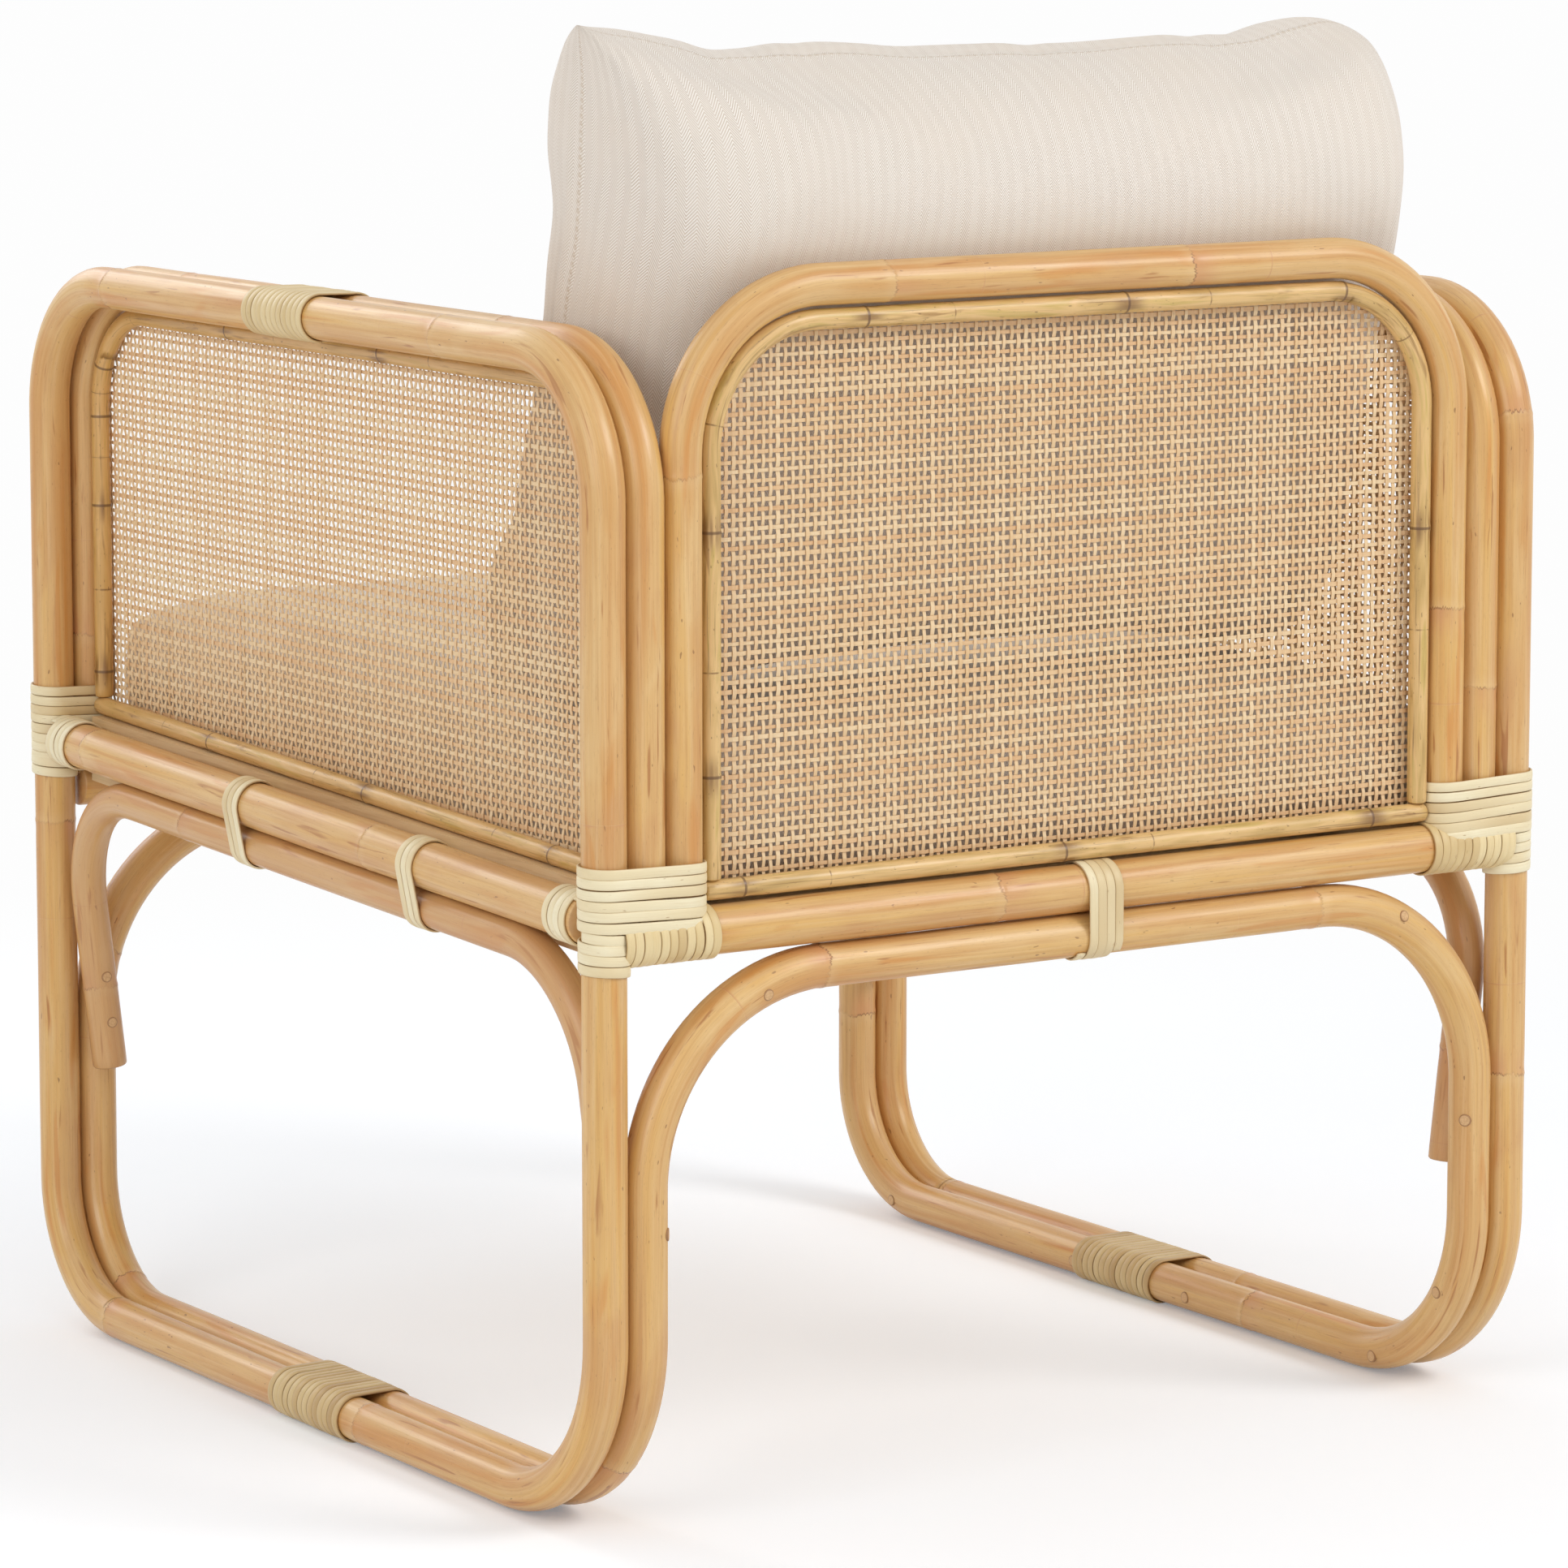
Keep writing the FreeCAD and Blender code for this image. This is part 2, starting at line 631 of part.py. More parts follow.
shapes = {}
shapes.update(loops_and_arms())
shapes.update(under_poles())
shapes.update(rails())
shapes.update(side_arches())
shapes.update(back_panel())
shapes.update(side_panels())
shapes.update(seat_deck())
shapes.update(bindings())
shapes["seat_cushion"] = seat_cushion()
shapes["back_cushion"] = back_cushion(shapes["seat_cushion"])

for name, shape in shapes.items():
    shape.exportStep("parts/" + name + ".step")
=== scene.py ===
import math

import bpy
import numpy as np
from mathutils import Matrix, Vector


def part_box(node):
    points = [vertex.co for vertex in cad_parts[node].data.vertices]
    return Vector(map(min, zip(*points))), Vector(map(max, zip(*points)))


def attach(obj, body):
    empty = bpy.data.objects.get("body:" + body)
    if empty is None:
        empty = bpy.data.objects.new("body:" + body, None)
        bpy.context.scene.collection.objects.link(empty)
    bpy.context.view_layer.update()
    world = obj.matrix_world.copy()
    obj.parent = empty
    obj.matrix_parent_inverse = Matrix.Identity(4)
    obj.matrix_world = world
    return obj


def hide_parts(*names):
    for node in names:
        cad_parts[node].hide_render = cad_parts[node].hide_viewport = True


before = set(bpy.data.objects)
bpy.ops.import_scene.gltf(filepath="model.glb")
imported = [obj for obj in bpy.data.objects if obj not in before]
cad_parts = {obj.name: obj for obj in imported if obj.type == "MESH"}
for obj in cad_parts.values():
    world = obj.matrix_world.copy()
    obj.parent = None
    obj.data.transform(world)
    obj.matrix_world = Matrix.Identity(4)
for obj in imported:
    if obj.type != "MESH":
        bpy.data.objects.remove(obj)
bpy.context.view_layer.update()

# Lengths below are millimetres in the frame of the CAD part, and meshes are written in metres.
MM = 0.001

# Pole diameters
LOOP = 26.0
ARM = 25.0
UNDER = 26.0
SIDE_RAIL = 28.5
CROSS_RAIL = 29.0
SIDE_ARCH = 22.6
BACK_FRAME = 24.4
BEAD = 12.4
SILL = 12.0

# Centre lines, as in the CAD source
LOOP_X = 323.0
LEG_Y = 337.0
ARM_Z = 674.0
BACK_TOP_Z = 709.0
RAIL_Z = 348.3
UNDER_X = 296.7
ARM_X = 297.2
BACK_X = 272.2
RUNNER_Z = 14.3
UNDER_ARCH_Z = 320.5
ARCH_TOP_X = 321.0
ARCH_FOOT_X = 299.0
ARCH_Y = 312.4
ARCH_DROP = 25.85
BEAD_OFFSET = 19.7
BEAD_BEND_LESS = 20.75
SIDE_RAIL_REAR_Z = 357.4
SIDE_RAIL_FRONT_Z = 380.3
SLOPE = math.atan2(SIDE_RAIL_FRONT_Z - SIDE_RAIL_REAR_Z, 2 * LEG_Y)
SEAT_LINE = np.array((0, math.cos(SLOPE), -math.sin(SLOPE)))
SEAT_UP = np.array((0, math.sin(SLOPE), math.cos(SLOPE)))

# Bends, joints and windings, as in the CAD source
TOP_BEND = 82
REAR_FOOT_BEND = 105
FRONT_FOOT_BEND = 80
UNDER_ARCH_BEND = 118
SIDE_ARCH_BEND = 78
BACK_BEND = 92
REAR_ARCH_FOOT_Z = 147
FRONT_ARCH_FOOT_Z = 167
LOOP_JOINT_Y = -20.0
RUNNER_JOINT_LEFT_Y = 5.0
RUNNER_JOINT_RIGHT_Y = -17.0
SIDE_TIE_REAR_Y = 137.0
SIDE_TIE_FRONT_Y = -75.0
CROSS_TIE_X = -11.0
STRIP_PITCH = 6.1
JOINT_GAP = 0.3
SIDE_RAIL_INSET = 15.2
POLE_FOOT_Z = RAIL_Z + 7
CANE_INSET = SILL / 2 + 0.3 + 0.75

# Spacing of the cushions' mesh, before it is smoothed
CLOTH_STEP = 6.0

X = np.array((1.0, 0, 0))
Y = np.array((0, 1.0, 0))
Z = np.array((0, 0, 1.0))

SIDES = (("left", 1), ("right", -1))


def rail_z(y):
    """Height of a side rail's centre line."""
    return SIDE_RAIL_REAR_Z + (LEG_Y - y) * math.tan(SLOPE)


def unit(vector):
    return vector / np.linalg.norm(vector)


def srgb(red, green, blue):
    """A colour from 0 to 255 values as a shader's linear colour."""
    linear = []
    for value in (red, green, blue):
        part = value / 255
        linear.append(part / 12.92 if part <= 0.04045 else ((part + 0.055) / 1.055) ** 2.4)
    return (*linear, 1.0)


def smooth_noise(places, seed, spacing):
    """Smooth random numbers from -1 to 1 at these places along a line."""
    random = np.random.default_rng(seed)
    places = np.asarray(places, float)
    start = places.min() - spacing
    count = int((places.max() - start) / spacing) + 4
    values = random.uniform(-1, 1, count)
    steps = (places - start) / spacing
    low = np.floor(steps).astype(int)
    part = steps - low
    part = part * part * (3 - 2 * part)
    return values[low] * (1 - part) + values[low + 1] * part


def linked(name, data):
    """A new object of the scene."""
    made = bpy.data.objects.new(name, data)
    bpy.context.scene.collection.objects.link(made)
    return made


def matrix_of(first, second, third, origin):
    """Three axes and an origin as one matrix."""
    matrix = np.eye(4)
    matrix[:3, :3] = np.stack((first, second, third), 1)
    matrix[:3, 3] = origin
    return matrix


class Nodes:
    """A node tree, filled one call at a time."""

    def __init__(self, owner, output):
        owner.use_nodes = True
        self.tree = owner.node_tree
        self.tree.nodes.clear()
        self.output = self.node(output)

    def put(self, socket, value):
        """A link from another node, or a plain value."""
        if isinstance(value, bpy.types.Node):
            value = value.outputs[0]
        if isinstance(value, bpy.types.NodeSocket):
            self.tree.links.new(value, socket)
        else:
            socket.default_value = value

    def node(self, kind, inputs=(), **settings):
        """A node with its settings, and its inputs in order or by name."""
        made = self.tree.nodes.new(kind)
        for key, value in settings.items():
            setattr(made, key, value)
        for key, value in inputs.items() if isinstance(inputs, dict) else enumerate(inputs):
            self.put(made.inputs[key], value)
        return made

    def math(self, operation, *values):
        return self.node("ShaderNodeMath", values, operation=operation)

    def plus(self, first, second):
        return self.math("ADD", first, second)

    def times(self, first, second):
        return self.math("MULTIPLY", first, second)

    def directly_seen(self):
        """1 for camera, glossy and transmission rays."""
        rays = self.node("ShaderNodeLightPath").outputs
        seen = self.math("MAXIMUM", rays["Is Camera Ray"], rays["Is Glossy Ray"])
        return self.math("MAXIMUM", seen, rays["Is Transmission Ray"])


class Shader(Nodes):
    """A material whose patterns follow a mesh attribute or the object, its colour built up in steps."""

    def __init__(self, name, place="grain"):
        self.material = bpy.data.materials.new(name)
        super().__init__(self.material, "ShaderNodeOutputMaterial")
        self.surface = self.node("ShaderNodeBsdfPrincipled")
        self.put(self.output.inputs[0], self.surface)
        if place == "object":
            self.place = self.node("ShaderNodeTexCoord").outputs["Object"]
        else:
            self.place = self.node("ShaderNodeAttribute", attribute_name=place).outputs["Vector"]
        self.colour = None

    def number(self, name):
        return self.node("ShaderNodeAttribute", attribute_name=name).outputs["Fac"]

    def noise(self, scale, detail=2, roughness=0.5, distortion=0.0):
        """Noise over the place, stretched by a scale for each axis."""
        stretched = self.node("ShaderNodeVectorMath", (self.place, scale), operation="MULTIPLY")
        inputs = {"Vector": stretched, "Scale": 1.0, "Detail": detail, "Roughness": roughness,
                  "Distortion": distortion}
        return self.node("ShaderNodeTexNoise", inputs).outputs[0]

    def span(self, value, low, high, to_low=0.0, to_high=1.0):
        """The value carried from one span to another and held at its ends."""
        inputs = (value, low, high, to_low, to_high)
        return self.node("ShaderNodeMapRange", inputs, interpolation_type="SMOOTHSTEP")

    def tint(self, share, shade):
        """The colour turned by a share towards a shade of 0 to 255 values."""
        mixed = self.node("ShaderNodeMix", {0: share, 6: self.colour, 7: srgb(*shade)}, data_type="RGBA")
        self.colour = mixed.outputs[2]

    def stain(self, value, low, high, share, shade):
        """The colour turned towards a shade where the value passes from low to high."""
        self.tint(self.span(value, low, high, 0, share), shade)

    def ramp(self, value, *stops):
        """The first colour, from a value and its stops."""
        made = self.node("ShaderNodeValToRGB", (value,))
        elements = made.color_ramp.elements
        for index, (position, *shade) in enumerate((stops[0], stops[-1], *stops[1:-1])):
            if index < 2:
                elements[index].position = position
                elements[index].color = srgb(*shade)
            else:
                elements.new(position).color = srgb(*shade)
        self.colour = made.outputs[0]

    def bump(self, height, distance, strength):
        made = self.node("ShaderNodeBump", {"Strength": strength, "Distance": distance, "Height": height})
        self.put(self.surface.inputs["Normal"], made)

    def finish(self, roughness, coat=0.0, coat_roughness=0.3, sheen=0.0):
        values = {"Base Color": self.colour, "Roughness": roughness, "Coat Weight": coat,
                  "Coat Roughness": coat_roughness, "Sheen Weight": sheen}
        for key, value in values.items():
            self.put(self.surface.inputs[key], value)
        return self.material


def rattan_material():
    """Honey rattan core: long bands and streaks, brown dashes, pores, and fibrous pale and brown nodes."""
    s = Shader("rattan")
    s.ramp(s.noise((80, 80, 3.2), 2, 0.5, 0.4), (0.30, 206, 148, 80), (0.42, 211, 163, 100),
           (0.52, 218, 176, 114), (0.62, 220, 175, 102), (0.74, 209, 144, 70))
    patches = s.noise((24, 24, 8), 3, 0.55, 0.5)
    s.stain(patches, 0.52, 0.70, 0.5, (200, 146, 92))
    s.stain(patches, 0.47, 0.32, 0.42, (228, 195, 138))
    streaks = s.noise((330, 330, 7), 3, 0.6, 0.3)
    s.stain(streaks, 0.5, 0.72, 0.45, (194, 140, 80))
    s.stain(streaks, 0.5, 0.3, 0.3, (232, 198, 146))
    s.stain(s.noise((75, 75, 9), 2, 0.5, 0.8), 0.60, 0.73, 0.6, (208, 142, 68))
    s.stain(s.noise((230, 230, 17), 2, 0.5, 0.5), 0.64, 0.73, 0.7, (168, 104, 46))
    fibres = s.noise((1500, 1500, 28), 2, 0.6)
    s.stain(fibres, 0.5, 0.75, 0.2, (164, 112, 64))
    s.stain(s.noise((2100, 2100, 190), 1), 0.62, 0.78, 0.3, (158, 106, 60))
    s.stain(s.noise((420, 420, 150), 1), 0.74, 0.8, 0.6, (128, 78, 40))
    fray = s.noise((900, 900, 20), 2, 0.6)
    lean = s.noise((60, 60, 2), 1)
    knot = s.plus(s.number("knot"), s.span(fray, 0.3, 0.7, -0.0011, 0.0011))
    knot = s.plus(knot, s.span(lean, 0.3, 0.7, -0.0016, 0.0016))
    wide = s.noise((90, 90, 3), 1)
    below = s.times(s.span(knot, -0.024, -0.001), s.span(knot, 0.0008, -0.0006))
    s.tint(s.times(below, s.span(wide, 0.35, 0.65, 0.1, 0.65)), (206, 146, 98))
    above = s.times(s.span(knot, 0.010, 0.001), s.span(knot, -0.0008, 0.0006))
    s.tint(s.times(above, 0.18), (232, 202, 152))
    line = s.span(s.math("ABSOLUTE", knot), 0.0009, 0.0001)
    s.tint(s.times(line, s.span(wide, 0.38, 0.62, 0.12, 0.7)), (132, 82, 44))
    # Browner by each pole's tone; on the side arches this is painted shade of the seat above them.
    s.stain(s.number("tone"), 0, 1, 0.7, (192, 142, 98))
    s.tint(s.times(s.number("cut"), 0.7), (186, 142, 94))
    height = s.plus(s.times(fibres, 0.6), s.times(streaks, 0.7))
    s.bump(s.plus(height, s.times(line, -1.2)), 0.00022, 0.5)
    return s.finish(s.span(streaks, 0.3, 0.75, 0.38, 0.54), 0.3, 0.22)


def bead_material():
    """Thin yellow-olive cane with its skin on: brown stains and dark nodes, browner where toned."""
    s = Shader("bead_cane")
    s.ramp(s.noise((120, 120, 14), 3, 0.6, 0.6), (0.28, 182, 148, 86), (0.43, 206, 170, 106),
           (0.56, 224, 186, 126), (0.68, 204, 174, 100), (0.78, 180, 146, 82))
    s.stain(s.number("tone"), 0, 1, 0.6, (206, 152, 76))
    s.stain(s.noise((170, 170, 22), 3, 0.6, 0.5), 0.58, 0.72, 0.6, (150, 106, 52))
    streaks = s.noise((800, 800, 16), 3, 0.6, 0.2)
    s.stain(streaks, 0.56, 0.74, 0.65, (122, 84, 42))
    away = s.math("ABSOLUTE", s.number("knot"))
    wide = s.span(s.noise((260, 260, 6), 1), 0.4, 0.65, 0.0, 0.75)
    s.tint(s.times(s.span(away, 0.016, 0.0015), wide), (124, 84, 40))
    line = s.span(away, 0.0013, 0.0004)
    s.tint(s.times(line, 0.75), (92, 58, 30))
    s.stain(s.noise((700, 700, 260), 1), 0.7, 0.78, 0.6, (110, 74, 36))
    s.bump(s.plus(s.times(streaks, 0.8), s.times(line, -1.0)), 0.0002, 0.5)
    return s.finish(s.span(streaks, 0.3, 0.7, 0.34, 0.5), 0.2, 0.2)


def peel_material(name, pale, mid, deep, fleck_and_edge_shade):
    """Flat peel strips: fine fibres along them, edges darkened as painted shade of the gaps between turns,
    and a few flecks.
    """
    s = Shader(name)
    s.ramp(s.number("tone"), (0.0, *deep), (0.35, *mid), (0.7, *pale), (1.0, *mid))
    fibres = s.noise((2600, 400, 40), 3, 0.6)
    s.stain(fibres, 0.48, 0.75, 0.35, deep)
    # Edges of each strip darkened, unevenly, towards the fleck colour: painted shade of the gaps between
    # turns.
    uneven = s.span(s.noise((60, 60, 22)), 0.35, 0.65, 0.1, 0.65)
    s.tint(s.times(s.span(s.number("edge"), 0.86, 1.0), uneven), fleck_and_edge_shade)
    s.stain(s.noise((900, 900, 160), 1), 0.72, 0.8, 0.7, fleck_and_edge_shade)
    s.bump(fibres, 0.00015, 0.4)
    return s.finish(s.span(fibres, 0.3, 0.7, 0.42, 0.56), 0.1, 0.3)


def cane_material():
    """Split cane strands, each of its own hue, with fine lengthwise fibres."""
    s = Shader("cane_weave")
    s.ramp(s.number("tone"), (0.0, 220, 178, 131), (0.22, 226, 187, 141), (0.45, 229, 195, 150),
           (0.7, 235, 208, 167), (1.0, 225, 190, 142))
    fibres = s.noise((2200, 2200, 60), 3, 0.6)
    s.stain(fibres, 0.5, 0.75, 0.4, (194, 146, 98))
    s.stain(s.noise((40, 40, 22)), 0.55, 0.75, 0.25, (212, 168, 120))
    s.bump(fibres, 0.0001, 0.4)
    return s.finish(s.span(fibres, 0.3, 0.7, 0.5, 0.66))


def fabric_material():
    """Off-white herringbone: upright columns of slanted threads, every other column painted a shade darker,
    with plain stitched seams.
    """
    s = Shader("herringbone", "weave")
    column, thread_pitch, stitch_pitch, slant = 0.0050, 0.0021, 0.0052, 1.6
    across, upward = s.node("ShaderNodeSeparateXYZ", (s.place,)).outputs[:2]
    wander = s.span(s.noise((60, 8, 1), 1), 0.3, 0.7, -0.0003, 0.0003)
    shifted = s.plus(across, wander)
    climb = s.plus(upward, s.times(s.math("PINGPONG", shifted, column), slant))
    lines = s.math("SINE", s.times(climb, math.tau / thread_pitch))
    soft = s.noise((900, 900, 1), 2, 0.6)
    contrast = s.span(s.noise((120, 40, 1)), 0.3, 0.7, 0.6, 1.0)
    threads = s.plus(0.5, s.times(s.math("SUBTRACT", s.span(lines, -0.7, 0.7), 0.5), contrast))
    s.colour = srgb(206, 192, 177)
    s.tint(threads, (247, 242, 235))
    # Every other column a little darker: painted shade, for the light falling differently on threads slanted
    # each way.
    s.stain(s.math("SINE", s.times(shifted, math.pi / column)), -0.3, 0.3, 0.14, (208, 194, 180))
    s.stain(soft, 0.55, 0.8, 0.3, (212, 196, 180))
    s.stain(s.noise((14, 14, 1), 3), 0.4, 0.7, 0.22, (230, 216, 200))
    groove = s.span(s.number("seam"), 0.0014, 0.0003)
    dash = s.math("SINE", s.times(s.plus(across, upward), math.tau / stitch_pitch))
    s.tint(s.times(groove, s.span(dash, -0.3, 0.3, 0.1, 0.4)), (186, 160, 128))
    height = s.plus(s.times(threads, 0.6), s.times(soft, 0.5))
    s.bump(s.plus(height, s.times(groove, -2.2)), 0.00035, 0.6)
    return s.finish(0.88, sheen=0.12)


def wood_material(name, stretch):
    """Plain pine: long growth bands and fine fibres along the board."""
    s = Shader(name, "object")
    s.ramp(s.noise(stretch, 4, 0.55, 1.2), (0.3, 196, 158, 108), (0.48, 222, 190, 142),
           (0.6, 230, 202, 158), (0.75, 208, 170, 120))
    fine = s.noise([value * 9 for value in stretch], 2, 0.6)
    s.stain(fine, 0.5, 0.75, 0.3, (176, 136, 90))
    s.bump(fine, 0.0002, 0.4)
    return s.finish(s.span(fine, 0.3, 0.7, 0.5, 0.68))


def plug_material():
    """Sanded dowel ends with painted shade round the rim."""
    s = Shader("dowel_end", "object")
    fine = s.noise((900, 900, 900), 3, 0.6)
    s.ramp(fine, (0.3, 196, 152, 104), (0.7, 222, 184, 136))
    # Painted shade: the rim of each dowel end darkened.
    s.tint(s.times(s.number("rim"), 0.75), (140, 94, 54))
    s.bump(fine, 0.0002, 0.4)
    return s.finish(s.span(fine, 0.3, 0.7, 0.45, 0.6))


rattan = rattan_material()
bead_cane = bead_material()
peel = peel_material("peel", (240, 229, 195), (232, 215, 174), (216, 192, 146), (170, 132, 84))
# A darker, yellower copy of the peel for the back rail's strips: painted shade.
shaded_peel = peel_material("shaded_peel", (234, 214, 166), (224, 200, 148), (208, 180, 128), (164, 124, 74))
arm_peel = peel_material("arm_peel", (224, 202, 154), (213, 188, 137), (197, 167, 116), (154, 114, 68))
runner_peel = peel_material("runner_peel", (216, 192, 142), (205, 176, 124), (186, 154, 104), (126, 88, 52))
cane_weave = cane_material()
herringbone = fabric_material()
slat_wood = wood_material("slat_wood", (3, 45, 90))
bearer_wood = wood_material("bearer_wood", (60, 3, 60))
dowel_end = plug_material()


def piece(name, points, faces, material, attributes, node=None, body="frame", smooth=True):
    """A mesh from points in millimetres, riding on its body and standing for its CAD node."""
    data = bpy.data.meshes.new(name)
    data.from_pydata((np.asarray(points) * MM).tolist(), [], faces)
    data.polygons.foreach_set("use_smooth", [smooth] * len(data.polygons))
    data.materials.append(material)
    for key, values in attributes.items():
        values = np.asarray(values, np.float32)
        if values.ndim == 2:
            data.attributes.new(key, "FLOAT_VECTOR", "POINT").data.foreach_set("vector", values.ravel())
        else:
            data.attributes.new(key, "FLOAT", "POINT").data.foreach_set("value", values)
    made = linked(name, data)
    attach(made, body)
    if node:
        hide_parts(node)
    return made


def bent_line(corners, radii):
    """Close points along a centre line whose corners are turned in true arcs."""
    step = 1.5
    corners = [np.array(corner, float) for corner in corners]
    points = [corners[0]]
    for before, corner, after, radius in zip(corners, corners[1:], corners[2:], radii):
        back = unit(before - corner)
        ahead = unit(after - corner)
        half = math.acos(float(np.clip(back @ ahead, -1, 1))) / 2
        centre = corner + unit(back + ahead) * (radius / math.sin(half))
        first = unit(corner + back * (radius / math.tan(half)) - centre)
        turn = math.pi - 2 * half
        count = max(12, int(turn * radius / step))
        for index in range(count + 1):
            angle = turn * index / count
            points.append(centre + (first * math.cos(angle) - back * math.sin(angle)) * radius)
    points.append(corners[-1])
    return np.array(points)


def lengths_of(points):
    steps = np.linalg.norm(np.diff(points, axis=0), axis=1)
    return np.concatenate([[0], np.cumsum(steps)])


def along_line(points, places):
    """Points of a line at these lengths along it."""
    lengths = lengths_of(points)
    return np.stack([np.interp(places, lengths, points[:, axis]) for axis in range(3)], 1)


def carried_frames(points):
    """Two directions square to the line at each point, carried along it without twist."""
    tangents = np.gradient(points, axis=0)
    tangents /= np.linalg.norm(tangents, axis=1)[:, None]
    first = np.cross(tangents[0], (0.3, 0.2, 0.9))
    firsts = []
    for tangent in tangents:
        first = unit(first - tangent * (first @ tangent))
        firsts.append(first)
    firsts = np.array(firsts)
    return tangents, firsts, np.cross(tangents, firsts)


def ring_faces(rings, sides):
    """Quads between rings of points."""
    index = np.arange(rings - 1)[:, None] * sides
    side = np.arange(sides)[None, :]
    following = (side + 1) % sides
    quads = np.stack([index + side, index + following, index + sides + following, index + sides + side], -1)
    return quads.reshape(-1, 4).tolist()


def tube_faces(rings, sides):
    """Quads between rings of points, with a face over each end."""
    first = list(range(sides))
    return ring_faces(rings, sides) + [first[::-1], [(rings - 1) * sides + side for side in first]]


def auto_knots(length, seed, low, high):
    """Places of a cane's nodes at natural, uneven spacings."""
    random = np.random.default_rng(seed)
    places = []
    place = random.uniform(0.2, 0.9) * low
    while place < length - 20:
        places.append(place)
        place += random.uniform(low, high)
    return places


def pole(node, corners, bends, diameter, seed, knots=None, spans=(300, 440), ridge=0.26, tone=0.0,
         material=rattan, slot="rattan", sides=28, step=7.0):
    """A round cane pole bent at its corners, with its natural nodes and slightly eased ends."""
    line = bent_line(corners, bends)
    length = lengths_of(line)[-1]
    if knots is None:
        knots = auto_knots(length, seed, *spans)
    places = set(np.linspace(0, length, max(2, int(length / step))).round(3))
    for knot in knots:
        for offset in (-9, -6, -4, -2.6, -1.6, -0.8, 0, 0.8, 1.6, 2.6, 4, 6):
            places.add(round(min(max(knot + offset, 0), length), 3))
    places = np.array(sorted(places))
    middle = along_line(line, places)
    tangents, firsts, seconds = carried_frames(middle)
    radius = np.full(len(places), diameter / 2 - 0.14)
    radius += 0.12 * smooth_noise(places, seed + 1, 90)
    signed = np.full(len(places), 60.0)
    for knot in knots:
        offset = places - knot
        radius += ridge * np.exp(-(offset / 1.5) ** 2) - 0.5 * ridge * np.exp(-((offset + 6) / 4) ** 2)
        nearer = np.abs(offset) < np.abs(signed)
        signed[nearer] = offset[nearer]
    angles = np.linspace(0, 2 * math.pi, sides, endpoint=False)
    ease = 0.9
    rings = []
    ring_places = []
    ring_knots = []
    cuts = []
    capped = [(0, -1)] + [(index, 0) for index in range(len(places))] + [(len(places) - 1, 1)]
    for index, end in capped:
        at_edge = end == 0 and index in (0, len(places) - 1)
        shrink = ease if end else (0.12 if at_edge else 0.0)
        inward = tangents[index] * (ease * (1 if index == 0 else -1)) if at_edge else 0
        spoke = np.cos(angles)[:, None] * firsts[index] + np.sin(angles)[:, None] * seconds[index]
        rings.append(middle[index] + inward + spoke * (radius[index] - shrink))
        ring_places.append(places[index])
        ring_knots.append(signed[index])
        cuts.append(1.0 if end else 0.0)
    rings = np.array(rings)
    count = len(rings)
    random = np.random.default_rng(seed + 2)
    shift = random.uniform(-2000, 2000, 3)
    grain = np.zeros((count, sides, 3))
    grain[:, :, 0] = np.cos(angles) * diameter / 2 + shift[0]
    grain[:, :, 1] = np.sin(angles) * diameter / 2 + shift[1]
    grain[:, :, 2] = np.array(ring_places)[:, None] + shift[2]
    attributes = {
        "grain": grain.reshape(-1, 3) * MM,
        "knot": np.repeat(np.array(ring_knots) * MM, sides),
        "cut": np.repeat(cuts, sides),
        "tone": np.full(count * sides, tone),
    }
    name = node.replace("_pole", "") + "_cane"
    piece(name, rings.reshape(-1, 3), tube_faces(count, sides), material, attributes, node)


def hull_of(points):
    """The outline round points in a plane, in order."""
    points = sorted(set(map(tuple, np.round(points, 6))))

    def half(ordered):
        chain = []
        for point in ordered:
            while len(chain) > 1:
                (ax, ay), (bx, by) = chain[-2], chain[-1]
                if (bx - ax) * (point[1] - ay) - (by - ay) * (point[0] - ax) > 0:
                    break
                chain.pop()
            chain.append(point)
        return chain[:-1]

    return np.array(half(points) + half(points[::-1]))


def taut_loop(circles, turn_from):
    """Close points of the taut line round circles in a plane, from the point nearest an angle."""
    clear = 0.15
    samples = []
    for u, v, radius in circles:
        angles = np.linspace(0, 2 * math.pi, 60, endpoint=False)
        reach = radius + clear
        samples.append(np.stack([u + reach * np.cos(angles), v + reach * np.sin(angles)], 1))
    outline = hull_of(np.concatenate(samples))
    middle = outline.mean(0)
    angles = np.arctan2(outline[:, 1] - middle[1], outline[:, 0] - middle[0])
    start = int(np.argmin(np.abs(np.angle(np.exp(1j * (angles - turn_from))))))
    outline = np.roll(outline, -start, axis=0)
    closed = np.concatenate([outline, outline[:1]])
    points = []
    for first, second in zip(closed, closed[1:]):
        count = max(1, int(np.ceil(np.linalg.norm(second - first) / 5.0)))
        for index in range(count):
            points.append(first + (second - first) * (index / count))
    return np.array(points)


